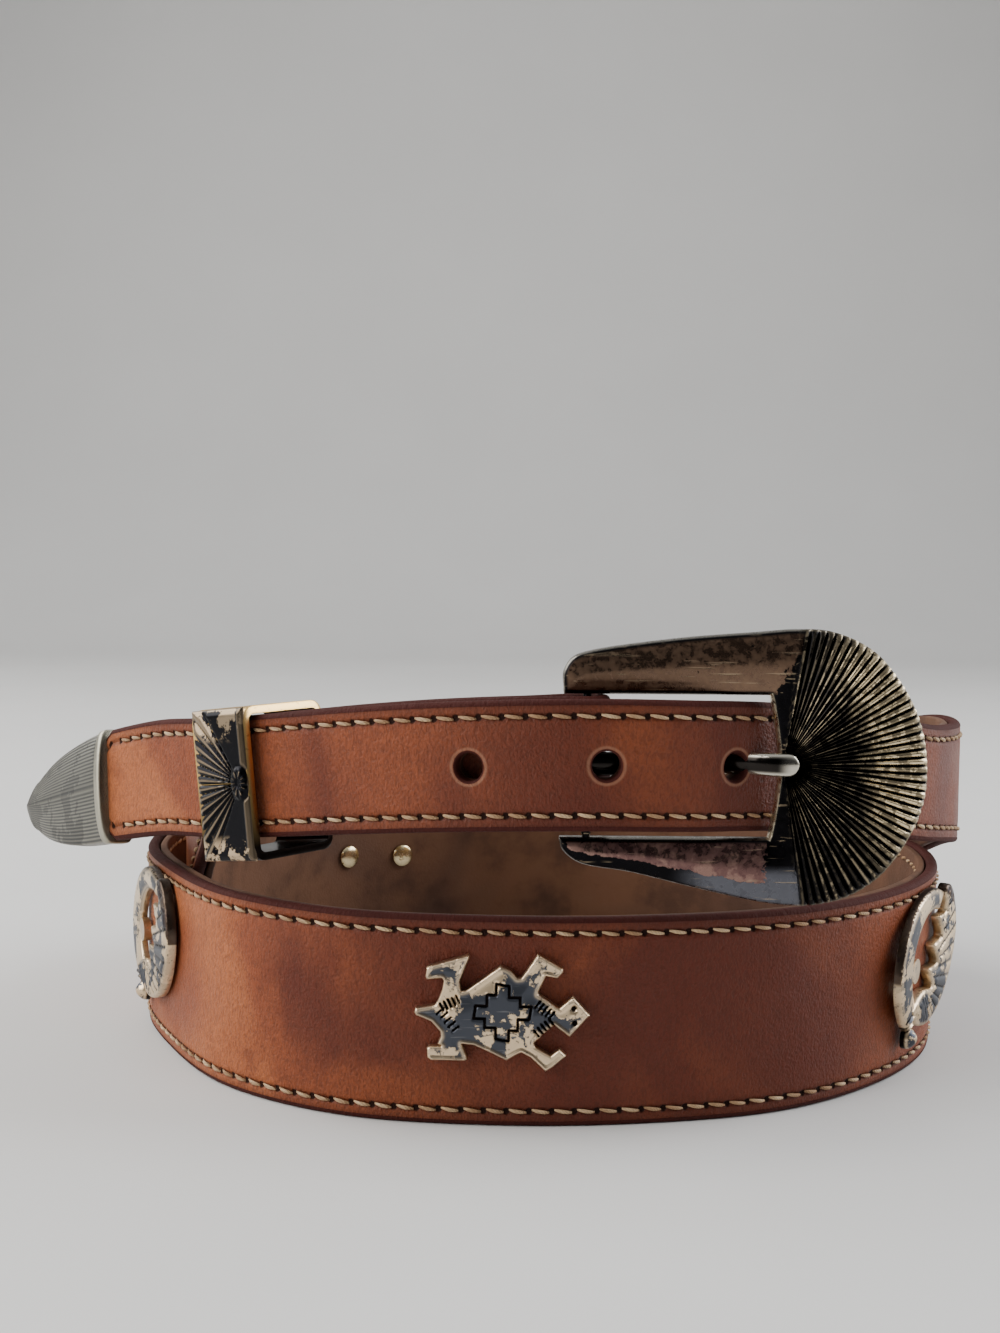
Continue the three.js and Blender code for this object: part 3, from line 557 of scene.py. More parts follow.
def stitching(material):
    """Every stitch is a short cord that dips into the leather at both ends."""
    sides, rings = 6, 5
    share = np.linspace(-1, 1, rings)
    angle = np.linspace(0, 2 * np.pi, sides, endpoint=False)
    girth = THREAD / 2 * np.sqrt(1 - 0.75 * share**2)
    parts = []
    front_run = (bar_length + 9, 1, 0.0)
    back_run = (bar_length + FOLD_LENGTH + 6, -1, -PLY_DEPTH)
    for start, facing, depth in (front_run, back_run):
        first = math.ceil(start / STITCH_PITCH)
        middles = np.arange(first, int((rim_length - 3) / STITCH_PITCH)) * STITCH_PITCH + STITCH_PITCH / 2
        for row in (-1, 1):
            width = width_at(middles)
            rise = row * (width / 2 - STITCH_MARGIN)
            for k, middle in enumerate(middles):
                spots = Lie(middle + share * STITCH_LENGTH / 2)
                lift = facing * (0.2 - 0.42 * share**2)
                slope = STITCH_SLANT * share * 0.6
                centre = spots.point(0 * share, depth + lift, rise[k] + slope)
                flat = spots.out[:, None] * (np.cos(angle) * 0.8)[:, None] * girth[:, None, None]
                wide = spots.up[:, None] * np.sin(angle)[:, None] * girth[:, None, None]
                parts.append(sweep(centre[:, None] + flat + wide))
    points, faces = join(parts)
    make_piece("stitching", points, faces, material, [], crease=180)


# Cast relief: a flat outline filled with points that carry the height of its face

def resample(points, step, closed=True):
    points = np.asarray(points, float)
    if closed:
        points = np.vstack([points, points[:1]])
    lengths = np.concatenate([[0], np.cumsum(np.linalg.norm(np.diff(points, axis=0), axis=1))])
    rows = []
    for i in range(len(points) - 1):
        pieces = max(1, round((lengths[i + 1] - lengths[i]) / step))
        share = np.arange(pieces)[:, None] / pieces
        rows.append(points[i] + (points[i + 1] - points[i]) * share)
    if not closed:
        rows.append(points[-1:])
    return np.vstack(rows)


def distance_to(points, segments):
    """Distance from each point to the nearest of some segments, as (start, end) rows."""
    nearest = np.full(len(points), 1e9)
    for start, end in segments:
        way = end - start
        share = np.clip(((points - start) @ way) / max(way @ way, 1e-12), 0, 1)
        nearest = np.minimum(nearest, np.linalg.norm(points - start - share[:, None] * way, axis=1))
    return nearest


def sides_of(loop):
    return list(zip(loop, np.roll(loop, -1, axis=0)))


def inside(points, loop):
    result = np.zeros(len(points), bool)
    for (x1, y1), (x2, y2) in sides_of(loop):
        if y1 == y2:
            continue
        crosses = (y1 > points[:, 1]) != (y2 > points[:, 1])
        result ^= crosses & (points[:, 0] < (x2 - x1) * (points[:, 1] - y1) / (y2 - y1) + x1)
    return result


def filled(loop, extra):
    """Triangles that fill a loop through extra points inside it."""
    count = len(loop)
    flat = [Vector(p) for p in np.vstack([loop, extra])] if len(extra) else [Vector(p) for p in loop]
    edges = [(i, (i + 1) % count) for i in range(count)]
    verts, _, faces, *_ = delaunay_2d_cdt(flat, edges, [], 1, 1e-6)
    verts = np.array(verts)
    faces = np.array(faces)
    middles = verts[faces].mean(axis=1)
    return verts, faces[inside(middles, loop)]


def relief(loop, extra, top, back):
    """A closed plate: its face has the height that top gives, its back is flat."""
    verts, faces = filled(loop, extra)
    edge = distance_to(verts, sides_of(loop))
    height, fields = top(verts, edge)
    front = np.column_stack([verts, height])
    corner = np.cross(
        front[faces[:, 1]] - front[faces[:, 0]], front[faces[:, 2]] - front[faces[:, 0]]
    )[:, 2] < 0
    faces[corner] = faces[corner][:, ::-1]
    back_verts, back_faces = filled(loop, np.zeros((0, 2)))
    start = len(front)
    points = np.vstack([front, np.column_stack([back_verts, np.full(len(back_verts), back)])])
    all_faces = [tuple(face) for face in faces]
    all_faces += [tuple(start + i for i in face[::-1]) for face in back_faces]
    count = len(loop)
    for i in range(count):
        n = (i + 1) % count
        all_faces.append((i, start + i, start + n, n))
    _, back_fields = top(back_verts, np.full(len(back_verts), 0.3))
    return points, all_faces, joined_fields([fields, back_fields])


def inset_points(loop, insets, clear=0.1):
    """Rows of points just inside a loop, where its edge is rounded."""
    ahead = np.roll(loop, -1, axis=0) - np.roll(loop, 1, axis=0)
    normal = unit(np.column_stack([-ahead[:, 1], ahead[:, 0]]))
    rows = []
    for inset in insets:
        for side in (-1, 1):
            rows.append(loop + normal * inset * side)
    points = np.vstack(rows)
    points = points[inside(points, loop)]
    return points[distance_to(points, sides_of(loop)) > clear]


def grid_points(loop, step, clear):
    """A staggered grid inside a loop, clear of its edge."""
    low, high = loop.min(axis=0), loop.max(axis=0)
    x, y = np.meshgrid(np.arange(low[0], high[0], step), np.arange(low[1], high[1], step))
    x[1::2] += step / 2
    points = np.column_stack([x.ravel(), y.ravel()])
    points = points[inside(points, loop)]
    return points[distance_to(points, sides_of(loop)) > clear]


def rounded_edge(edge, radius):
    """How far a face falls at its edge, for a rounding of that radius."""
    close = np.clip(edge, 0, radius)
    return np.sqrt(np.maximum(radius**2 - (radius - close) ** 2, 0)) - radius


# Outer edge of the buckle, across from its bar and up from the middle of its window
BUCKLE_EDGE = [
    (-4.4, 13.8), (-4.4, 17.4), (-2.75, 20), (0, 21.1), (15.6, 23.5), (31.7, 24.9), (38.1, 25.4), (45, 25.0),
    (52.3, 21.7), (57.2, 16.4), (61, 9.5), (62.7, 1.5), (62.3, -6.4), (59.5, -13.4), (54.6, -20.1),
    (48.8, -24), (42.4, -25.7), (38.1, -25.8), (32.8, -25.3), (20.6, -22.7), (8.4, -19.8), (-1.4, -18.0),
    (-4.4, -15.6), (-5.0, -13.8),
]
RAY_CENTRE = np.array([WINDOW_LENGTH + 0.6, 0.5])

# The fan's curved edge across the window
cusp_share = np.linspace(-1, 1, 31)
CUSP_EDGE = np.column_stack([
    WINDOW_LENGTH - CUSP_DEPTH * np.abs(cusp_share) ** 1.5, cusp_share * WINDOW_HALF,
])


def buckle_loop():
    """The casting's whole outline: round the outside, then back through the window."""
    outer = through(BUCKLE_EDGE)(np.linspace(0, len(BUCKLE_EDGE) - 1, 230))
    lower = resample([(-4.9, -WINDOW_HALF), CUSP_EDGE[0]], 1.2, closed=False)[:-1]
    upper = resample([CUSP_EDGE[-1], (-4.3, WINDOW_HALF)], 1.2, closed=False)[1:]
    return np.vstack([outer, lower, CUSP_EDGE, upper])


def ray_shares(reach):
    """Where across a ray its points lie: more of them where the ray is wide."""
    if reach > 9:
        return 0, 0.14, 0.3, 0.5, 0.7, 0.86
    if reach > 5:
        return 0, 0.25, 0.5, 0.75
    return 0, 0.5


def ray_points():
    """Points on the crest, flanks and groove of every ray, so that each stays crisp."""
    points = []
    pitch = 2 * RAY_SPREAD / RAY_COUNT
    for reach in np.arange(2.4, 34, 1.1):
        for ray in range(RAY_COUNT):
            for share in ray_shares(reach):
                angle = math.radians(-RAY_SPREAD + (ray + share) * pitch)
                points.append(RAY_CENTRE + reach * np.array([math.cos(angle), math.sin(angle)]))
    return np.array(points)


def ray_luck(ray):
    """How much plating each ray has kept, uneven from ray to ray."""
    return 0.5 + 0.5 * np.sin(ray * 2.4 + 1.7 * np.sin(ray * 1.1))


def buckle_top(points, edge):
    """Face of the buckle: a fan of rays, two smooth arms with a fine line along their edge."""
    across, rise = points[:, 0], points[:, 1]
    offset = points - RAY_CENTRE
    reach = np.linalg.norm(offset, axis=1)
    angle = np.degrees(np.arctan2(offset[:, 1], offset[:, 0]))
    fan = smooth(RAY_SPREAD - np.abs(angle), -0.3, 0.9)
    arm = 1 - fan
    phase = (angle + RAY_SPREAD) / (2 * RAY_SPREAD) * RAY_COUNT
    crest = np.abs(np.sin(np.pi * phase)) ** 0.8
    depth = RAY_DEPTH * (0.25 + 0.75 * smooth(reach, 3, 15)) * smooth(reach, 1, 2)
    height = FRAME_THICKNESS / 2 + 0.6 * smooth(edge, 0, 6) - fan * depth * (1 - crest) - 0.15 * fan
    height += rounded_edge(edge, 1.3) * (1 - 0.35 * fan)
    height -= arm * 0.14 * np.exp(-(((edge - 1.7) / 0.35) ** 2))
    below = rise < 0
    panel = smooth(across - 0.7 * (rise - WINDOW_HALF), 36, 31) * ~below
    slope = smooth(rise + 0.17 * across, -16.8, -15.2)
    panel += smooth(across, 35, 31) * slope * smooth(across, -4.5, -2) * below
    slate = smooth(across, 15, 24) * smooth(-rise, 18.0, 20.0)
    lip = distance_to(points, list(zip(CUSP_EDGE[:-1], CUSP_EDGE[1:])))
    luck = ray_luck(np.floor(phase))
    # A broad painted sheen over the fan's upper right, from mid reach outward.
    glow = smooth(reach, 10 + 6 * luck, 22) * np.exp(-(((angle - 12) / 44) ** 2))
    return height, {
        "crest": crest * fan + arm, "fan": fan, "edge": edge, "glow": glow, "luck": luck,
        "panel": panel, "below": below * 1.0, "slate": slate, "lip": lip,
    }


def beyond_fan(points, margin):
    offset = points - RAY_CENTRE
    return np.abs(np.degrees(np.arctan2(offset[:, 1], offset[:, 0]))) > RAY_SPREAD + margin


def buckle_piece(material):
    """The cast buckle with the bar that its strap is folded round."""
    loop = buckle_loop()
    arms = grid_points(loop, 0.6, 1.5)
    edges = inset_points(loop, (0.15, 0.45, 0.9))
    rays = ray_points()
    rays = rays[inside(rays, loop)]
    rays = rays[distance_to(rays, sides_of(loop)) > 0.15]
    extra = np.vstack([arms[beyond_fan(arms, 1.2)], rays, edges[beyond_fan(edges, 1)]])
    points, faces, fields = relief(loop, extra, buckle_top, -FRAME_THICKNESS / 2)
    bar_half = WINDOW_HALF + 1.5
    bar_radius = BAR_DIAMETER / 2
    bar, bar_faces = lathe([
        (0.4, -bar_half), (0.8, 2 - bar_half), (bar_radius, 5 - bar_half),
        (bar_radius, bar_half - 5), (0.8, bar_half - 2), (0.4, bar_half),
    ], 24)
    points, faces = join([(points, faces), (bar[:, [0, 2, 1]], bar_faces)])
    fields = joined_fields([fields, plain_fields(fields, len(bar), lip=9, edge=3)])
    make_piece(
        "buckle_casting", set_on_bar(points), faces, material, ["buckle_frame"],
        fields=fields, crease=50
    )


# The tongue's path: distance from the bar as a share of the window, height in front of the bar
# as a share of its resting height on the fan
TONGUE_PATH = [
    (0, 1.03), (0.16, 0.94), (0.38, 0.45), (0.55, -0.1), (0.69, -0.5), (0.81, -0.1), (0.9, 0.5), (0.99, 0.96),
]


def tongue_piece(material):
    """A bar that runs from its eye through the hooked hole to rest on the fan."""
    lift = FRAME_THICKNESS / 2 + GAP + TONGUE_THICKNESS / 2
    rows = [(across * WINDOW_LENGTH, share * lift) for across, share in TONGUE_PATH]
    rows.append((WINDOW_LENGTH + TONGUE_REST, lift))
    curve = through(np.array(rows))
    count, sides = 70, 20
    spots = curve(np.linspace(0, len(rows) - 1, count))
    ways = unit(np.gradient(spots, axis=0))
    angle = np.linspace(0, 2 * np.pi, sides, endpoint=False)
    side = np.sign(np.cos(angle)) * np.abs(np.cos(angle)) ** 0.75
    rise = np.sign(np.sin(angle)) * np.abs(np.sin(angle)) ** 0.9
    rings = []
    nose_length = TONGUE_WIDTH / 2
    travel = np.concatenate([[0], np.cumsum(np.linalg.norm(np.diff(spots, axis=0), axis=1))])
    for spot, way, gone in zip(spots, ways, travel):
        left = travel[-1] - gone
        nose = math.sqrt(max(0.02, 1 - max(0, 1 - left / nose_length) ** 2))
        half, deep = TONGUE_WIDTH / 2 * nose, TONGUE_THICKNESS / 2 * (0.35 + 0.65 * nose)
        rings.append(np.column_stack([
            spot[0] - way[1] * deep * rise,
            TONGUE_RISE + side * half,
            spot[1] + way[0] * deep * rise,
        ]))
    body = sweep(np.array(rings))
    inner = BAR_DIAMETER / 2 + GAP
    outer = inner + TONGUE_THICKNESS * 0.8
    half = TONGUE_WIDTH / 2
    eye_rings = []
    section = [
        (inner, -half), (outer - 0.4, -half), (outer, 0.4 - half), (outer, half - 0.4),
        (outer - 0.4, half), (inner, half),
    ]
    for turn in np.linspace(0, 2 * np.pi, 32, endpoint=False):
        eye_rings.append([(r * math.cos(turn), TONGUE_RISE + y, r * math.sin(turn)) for r, y in section])
    points, faces = join([body, sweep(np.array(eye_rings), closed=True)])
    on_eye = np.zeros(len(points) - count * sides)
    crown = np.concatenate([np.tile(np.maximum(rise, 0), count), on_eye])
    along = np.concatenate([np.repeat(travel / travel[-1], sides), on_eye])
    make_piece(
        "tongue", set_on_bar(points), faces, material, ["buckle_tongue"],
        fields={"crown": crown, "travel": along}, crease=60
    )


def keeper_top(points, edge):
    """Face of the keeper: rays that fan from a half rosette at its right edge."""
    offset = points - np.array([KEEPER_LENGTH - 2.2, 0.3])
    reach = np.linalg.norm(offset * [1.5, 1], axis=1)
    angle = np.degrees(np.arctan2(offset[:, 1], -offset[:, 0]))
    fan = smooth(62 - np.abs(angle), 0, 5) * smooth(reach, 3.4, 4.2)
    crest = np.abs(np.sin(np.radians(angle) * 180 / 9.5)) ** 0.9
    petals = np.abs(np.cos(np.radians(angle) * 5))
    rosette = smooth(reach, 3.6, 2.4) * (0.7 + 0.3 * petals) - 0.4 * smooth(reach, 1.3, 0.6)
    rise = 0.45 * smooth(edge, 0.2, 1.4) - 0.5 * fan * (1 - crest) * smooth(edge, 0.1, 1.2)
    rise += 0.6 * rosette + rounded_edge(edge, 0.5)
    border = smooth(points[:, 0], KEEPER_LENGTH - 1.6, KEEPER_LENGTH - 1.2) * smooth(reach, 3.4, 4.2)
    rise += 0.2 * border
    lit_petals = np.clip(rosette, 0, 1) * petals
    return rise, {
        "crest": np.maximum(crest * fan, lit_petals), "edge": edge, "border": border,
        "top_patch": smooth(points[:, 1], 8.0, 10.5), "foot_patch": smooth(points[:, 1], -9.5, -12),
        "band": 0 * edge, "gilt": 0 * edge,
    }


def keeper_piece(material):
    """A band that hangs on the billet's upper edge, with a cast face in front."""
    lie = Lie(length_at_turn(KEEPER_TURN + 720))
    top = lie.width[0] / 2 + GAP
    bottom = top - 2 * GAP - lie.width[0] - 2 * KEEPER_PLAY
    front = KEEPER_SLACK
    back = -(PLY_DEPTH + STRAND_GAP + 2 * LEATHER + GAP + KEEPER_BACK_PLAY)
    path, outward = [], []
    corners = [
        (front, top, 1, 1, 0), (back, top, -1, 1, 90),
        (back, bottom, -1, -1, 180), (front, bottom, 1, -1, 270),
    ]
    for out_side, up_side, out_sign, up_sign, start in corners:
        middle = np.array([out_side - out_sign * KEEPER_BEND, up_side - up_sign * KEEPER_BEND])
        for angle in np.radians(np.array(CORNER_ANGLES) + start):
            way = np.array([math.cos(angle), math.sin(angle)])
            path.append(middle + way * KEEPER_BEND)
            outward.append(way)
    half = KEEPER_LENGTH / 2
    section = [
        (-half, 0), (-half, 0.06), (-half, 0.8), (0.25 - half, 1),
        (half - 0.25, 1), (half, 0.8), (half, 0.06), (half, 0),
    ]
    rings = np.array([
        [(along, *(spot + way * rise * KEEPER_WALL)) for along, rise in section]
        for spot, way in zip(path, outward)
    ])
    band_points, band_faces = sweep(rings, closed=True)
    band = lie.point(band_points[:, 0], band_points[:, 1], band_points[:, 2], row=0)
    face_half = (top - bottom) / 2 + KEEPER_WALL - 0.15
    left, right = 0.1, KEEPER_LENGTH - 0.1
    loop = resample([(left, -face_half), (right, -face_half), (right, face_half), (left, face_half)], 0.4)
    extra = np.vstack([grid_points(loop, 0.25, 0.2), inset_points(loop, (0.12, 0.3))])
    face, face_faces, fields = relief(loop, extra, keeper_top, -0.5)
    origin = lie.point(half, front + KEEPER_WALL, (top + bottom) / 2)[0]
    points, faces = join([(band, band_faces), (set_on(lie, face, origin), face_faces)])
    outer_side = np.tile([rise > 0 for _, rise in section], len(path))
    on_top = np.repeat([spot[1] > top - 2 for spot in path], len(section))
    on_band = plain_fields(fields, len(band), band=1)
    # Only the band's outer face on top is gilt; the rest of the band takes the black painted as shade.
    on_band["gilt"] = outer_side * on_top * 1.0
    fields = joined_fields([on_band, fields])
    make_piece("keeper_loop", points, faces, material, ["keeper"], fields=fields, crease=50)


def tip_piece(material):
    """A cap with a rounded end, fine rays toward its point and a bright rim."""
    shares = np.concatenate([np.linspace(0, 0.9, 46), np.linspace(0.912, 1, 12)])
    lie = Lie(rim_length + shares * TIP_LENGTH)
    curve = through(TIP_SHAPE)(np.linspace(0, len(TIP_SHAPE) - 1, 200))
    half = BILLET_WIDTH / 2 * np.interp(shares, curve[:, 0], curve[:, 1])
    rounding = np.sqrt(np.clip(1 - ((shares - TIP_NOSE) / (1.003 - TIP_NOSE)) ** 2, 0, 1))
    half = np.where(shares > TIP_NOSE, half[np.argmax(shares >= TIP_NOSE)] * rounding, half)
    angle = np.linspace(0, 2 * np.pi, TIP_SIDES, endpoint=False)
    flat_up = np.sign(np.sin(angle)) * np.abs(np.sin(angle)) ** 0.75
    flat_out = np.sign(np.cos(angle)) * np.abs(np.cos(angle)) ** 0.3
    front = (GAP + TIP_WALL) * (1 - 0.5 * shares)
    back = (-PLY_DEPTH - 2 * GAP - TIP_WALL) * (1 - 0.15 * shares)
    middle, deep = (front + back) / 2, (front - back) / 2
    bulge = 0.7 * (1 - flat_up**2) * np.sign(flat_out)
    ray = np.sin(flat_up * TIP_RAYS)
    out = middle[:, None] + deep[:, None] * flat_out[None, :] + bulge[None, :]
    out = out + 0.035 * (ray * np.sign(flat_out))[None, :] * smooth(shares, 0.08, 0.12)[:, None]
    body = sweep(lie.point(0 * out.T, out.T, (half[:, None] * flat_up[None, :]).T).transpose(1, 0, 2))
    crest = np.tile((ray + 1) / 2, len(shares))
    swell = RIM_SWELL - TIP_WALL
    rim = Lie(rim_length + np.array([0, 0.25, TIP_RIM - 0.25, TIP_RIM]))
    swells = swell * np.array([0.2, 1, 1, 0.2])
    rim_up = (BILLET_WIDTH / 2 + swells)[:, None] * flat_up[None, :]
    rim_out = middle[0] + (deep[0] + swells)[:, None] * flat_out[None, :] + bulge[None, :]
    band = sweep(rim.point(0 * rim_out.T, rim_out.T, rim_up.T).transpose(1, 0, 2))
    points, faces = join([body, band])
    on_body = {"crest": crest, "rim": 0 * crest}
    fields = joined_fields([on_body, plain_fields(on_body, len(band[0]), crest=1, rim=1)])
    make_piece("tip_cap", points, faces, material, ["strap_tip"], fields=fields, crease=60)


# Turtle seen from above with its head to the right, from the middle of its body
TURTLE_EDGE = [
    (-16.4, -0.2), (-16.1, 0.5), (-12.4, 1.2), (-11.9, 2.2), (-11.2, 4.1), (-10.9, 5.7), (-11.2, 6.2),
    (-14.0, 5.9), (-14.3, 6.4), (-14.1, 8.2), (-13.6, 8.5), (-6.1, 10.8), (-6.0, 10.2), (-7.8, 5.7),
    (-7.5, 3.9), (-6.5, 4.2), (-0.2, 8.8), (1.7, 8.0), (3.0, 6.6), (3.7, 6.7), (6.7, 11.1), (11.4, 8.5),
    (11.5, 7.8), (10.4, 6.6), (8.3, 7.0), (7.0, 4.2), (6.9, 3.6), (10.2, 1.3), (10.8, 1.1), (13.3, 3.3),
    (16.5, -0.2), (12.8, -4.4), (11.9, -3.8), (9.9, -2.3), (7.6, -4.2), (6.2, -5.7), (6.3, -6.4), (9.2, -8.0),
    (10.8, -6.7), (12.2, -8.0), (9.7, -10.2), (8.3, -11.1), (5.5, -8.5), (3.8, -7.6), (2.9, -8.0),
    (1.0, -9.2), (-1.5, -8.0), (-5.1, -6.4), (-7.3, -6.2), (-6.2, -9.0), (-6.7, -9.4), (-13.2, -9.4),
    (-13.9, -8.9), (-14.0, -7.1), (-13.5, -6.7), (-11.3, -6.6), (-12.0, -6.2), (-11.4, -4.8), (-11.5, -3.9),
    (-13.2, -2.0), (-16.1, -0.9),
]
CROSS_QUARTER = [(5.4, 1.2), (3.3, 1.2), (3.3, 2.9), (1.25, 2.9), (1.25, 5.0)]
CROSS_MIDDLE = np.array([0.2, 0.0])
HATCHES = [
    ((-11.4, 0.7), (-8.0, 2.4)), ((-11.6, 0.3), (-8.3, -3.4)),
    ((6.6, 1.8), (9.6, -0.5)), ((9.5, -1.4), (6.4, -4.0)),
]
EYES = [(13.5, 1.0), (13.7, -1.8)]


def cross_segments():
    """The stepped cross, one quarter turned four times."""
    corners = []
    for turn in range(4):
        way = math.cos(turn * math.pi / 2), math.sin(turn * math.pi / 2)
        for x, y in CROSS_QUARTER:
            corners.append(CROSS_MIDDLE + np.array([x * way[0] - y * way[1], x * way[1] + y * way[0]]))
    return sides_of(np.array(corners))


def hatch_segments():
    """Short cuts across each of the hatched bands."""
    bars = []
    for start, end in HATCHES:
        start, end = np.array(start), np.array(end)
        across = unit(np.array([start[1] - end[1], end[0] - start[0]])) * 0.8
        for share in np.linspace(0.06, 0.94, 5):
            middle = start + (end - start) * share
            bars.append((middle - across, middle + across))
    return bars


def turtle_top(points, edge):
    """Face of the turtle: a low crown in a raised rim, with the cross, hatches and eyes cut in."""
    cross = distance_to(points, cross_segments())
    hatch = distance_to(points, hatch_segments())
    eyes = distance_to(points, [(np.array(eye), np.array(eye) + 1e-3) for eye in EYES])
    rim = np.exp(-(((edge - 0.45) / 0.32) ** 2))
    groove = np.maximum(np.exp(-((cross / 0.28) ** 4)), np.exp(-((hatch / 0.2) ** 4)))
    groove = np.maximum(groove, np.exp(-((eyes / 0.55) ** 4)))
    crown = 0.5 * smooth(edge, 0.5, 4.5)
    height = GAP + CONCHO_PLATE + crown + 0.28 * rim - 0.5 * groove + rounded_edge(edge, 0.35)
    return height, {"crest": rim, "groove": groove, "edge": edge}


def set_on_strap(points, length):
    lie = Lie(length)
    return set_on(lie, points, lie.origin[0] + lie.up[0] * CONCHO_RISE)


def turtle_piece(name, node, length, material):
    loop = resample(TURTLE_EDGE, 0.32)
    extra = np.vstack([grid_points(loop, 0.24, 0.2), inset_points(loop, (0.12, 0.28, 0.45), 0.09)])
    points, faces, fields = relief(loop, extra, turtle_top, GAP)
    placed = set_on_strap(points, length)
    make_piece(name, placed, faces, material, [node], fields=fields, crease=50)


# Feathered figure in the crescent: shares of the openwork's half length and half height
FIGURE_EDGE = [
    (-0.62, -0.5), (-0.4, -0.74), (-0.05, -0.84), (0.32, -0.76), (0.64, -0.54), (0.88, -0.16),
    (0.97, 0.28), (0.86, 0.68), (0.62, 0.96), (0.46, 0.92), (0.54, 0.6), (0.28, 0.56), (0.42, 0.28),
    (0.14, 0.2), (0.3, -0.06), (0, -0.1), (0.14, -0.36), (-0.18, -0.34),
]


def arc(middle, radius_x, radius_y, start, end, count):
    angle = np.radians(np.linspace(start, end, count))
    return np.column_stack([middle[0] + radius_x * np.cos(angle), middle[1] + radius_y * np.sin(angle)])


def plain_top(rise, radius, ball):
    """A rounded band, ringed by two collars just above the ball."""
    def top(points, edge):
        rim = np.exp(-(((edge - radius) / 0.35) ** 2))
        from_ball = np.linalg.norm(points - ball, axis=1)
        collars = sum(np.exp(-(((from_ball - at) / 0.4) ** 2)) for at in (BALL_SIZE * 0.7, BALL_SIZE))
        between = smooth(from_ball, BALL_SIZE * 1.3, BALL_SIZE * 1.15)
        between *= smooth(from_ball, BALL_SIZE * 0.45, BALL_SIZE * 0.5)
        height = GAP + CONCHO_PLATE + rise + 0.35 * smooth(edge, 0.3, 2.2) + rounded_edge(edge, radius)
        height += 0.7 * collars * smooth(edge, 0, 0.8) - 0.3 * between * smooth(edge, 0, 0.8)
        groove = between * (1 - np.minimum(collars * 1.6, 1))
        return height, {"crest": rim, "groove": groove, "edge": edge}
    return top


def feathered_top(points, edge):
    """Barbs that fan out across the figure, with grooves between them."""
    angle = np.degrees(np.arctan2(points[:, 1] + 2, points[:, 0] + 8))
    barb = np.abs(np.sin(np.radians(angle) * 22))
    groove = (1 - barb) ** 2 * smooth(edge, 0.5, 1.0)
    height = GAP + CONCHO_PLATE + CONCHO_RELIEF / 2 + 0.4 * smooth(edge, 0.2, 2.0)
    height += rounded_edge(edge, 0.5) - 0.45 * groove
    return height, {"crest": np.exp(-(((edge - 0.5) / 0.3) ** 2)), "groove": groove, "edge": edge}


def openwork_piece(name, node, length, material):
    """A crescent with a feathered figure in it, a ball at its foot and two lugs for the posts."""
    half_x, half_y = OPENWORK_LENGTH / 2, OPENWORK_HEIGHT / 2
    crescent = np.vstack([
        arc((0, 0), half_x, half_y, CRESCENT_TOP, CRESCENT_FOOT, 60),
        arc((half_x * 0.08, 0), half_x * 0.66, half_y * 0.7, INNER_FOOT, INNER_TOP, 44),
    ])
    ball_middle = np.array([-half_x * 0.52, -half_y * 0.9])
    ball = arc(ball_middle, BALL_SIZE / 2, BALL_SIZE / 2, 0, 350, 36)
    corners = np.array(FIGURE_EDGE + FIGURE_EDGE[:1]) * [half_x, half_y]
    figure = through(corners)(np.linspace(0, len(FIGURE_EDGE), 8 * len(FIGURE_EDGE), endpoint=False))
    parts, fields = [], []
    band_top = plain_top(0, 0.7, ball_middle)
    ball_top = plain_top(CONCHO_RELIEF, 2.1, ball_middle)
    for loop, top in ((crescent, band_top), (ball, ball_top), (figure, feathered_top)):
        extra = np.vstack([grid_points(loop, 0.4, 0.25), inset_points(loop, (0.15, 0.4), 0.12)])
        points, faces, some = relief(loop, extra, top, GAP)
        parts.append((points, faces))
        fields.append(some)
    for side in (-1, 1):
        lug, lug_faces = lathe([(2.6, GAP), (2.6, GAP + CONCHO_PLATE)], 24)
        lug[:, 0] += side * POST_SPREAD / 2
        parts.append((lug, lug_faces))
        fields.append(plain_fields(fields[0], len(lug)))
    points, faces = join(parts)
    fields = joined_fields(fields)
    outer_wall = np.linalg.norm(points[:, :2] / [half_x, half_y], axis=1) > 0.98
    fields["shade"] = outer_wall * smooth(points[:, 1], -3, 1)
    placed = set_on_strap(points, length)
    make_piece(name, placed, faces, material, [node], fields=fields, crease=50)


def cap_piece(name, node, length, material):
    """A domed rivet cap on the inside of the lining."""
    radius = CAP_DIAMETER / 2
    profile = [(radius, 0), (radius, 0.25)]
    for angle in np.radians(np.linspace(10, 88, 9)):
        profile.append((radius * math.cos(angle), 0.25 + (CAP_HEIGHT - 0.25) * math.sin(angle)))
    points, faces = lathe(profile, 36)
    points[:, 2] = -PLY_DEPTH - GAP - points[:, 2]
    make_piece(name, set_on_strap(points, length), faces, material, [node], crease=60)


# Shader nodes

def fill_sockets(tree, node, sockets):
    for name, value in sockets.items():
        if isinstance(value, bpy.types.NodeSocket):
            tree.links.new(value, node.inputs[name])
        else:
            node.inputs[name].default_value = value


def lay(tree, kind, sockets=None, **settings):
    """A shader node with its settings made and its sockets linked or set."""
    node = tree.nodes.new("ShaderNode" + kind)
    for name, value in settings.items():
        setattr(node, name, value)
    fill_sockets(tree, node, sockets or {})
    return node


def math_node(tree, operation, first, second=0.0):
    return lay(tree, "Math", {0: first, 1: second}, operation=operation).outputs[0]


def plus(tree, first, second):
    return math_node(tree, "ADD", first, second)


def minus(tree, first, second):
    return math_node(tree, "SUBTRACT", first, second)


def times(tree, first, second):
    return math_node(tree, "MULTIPLY", first, second)


def greater(tree, first, second):
    return math_node(tree, "MAXIMUM", first, second)


def distance(tree, first, second):
    """How far away a place is, from its two offsets."""
    square = plus(tree, times(tree, first, first), times(tree, second, second))
    return math_node(tree, "SQRT", square)


def ease(tree, value, low, high, start=0.0, end=1.0):
    node = lay(tree, "MapRange", {
        "Value": value, "From Min": low, "From Max": high, "To Min": start, "To Max": end,
    }, interpolation_type="SMOOTHSTEP")
    return node.outputs[0]


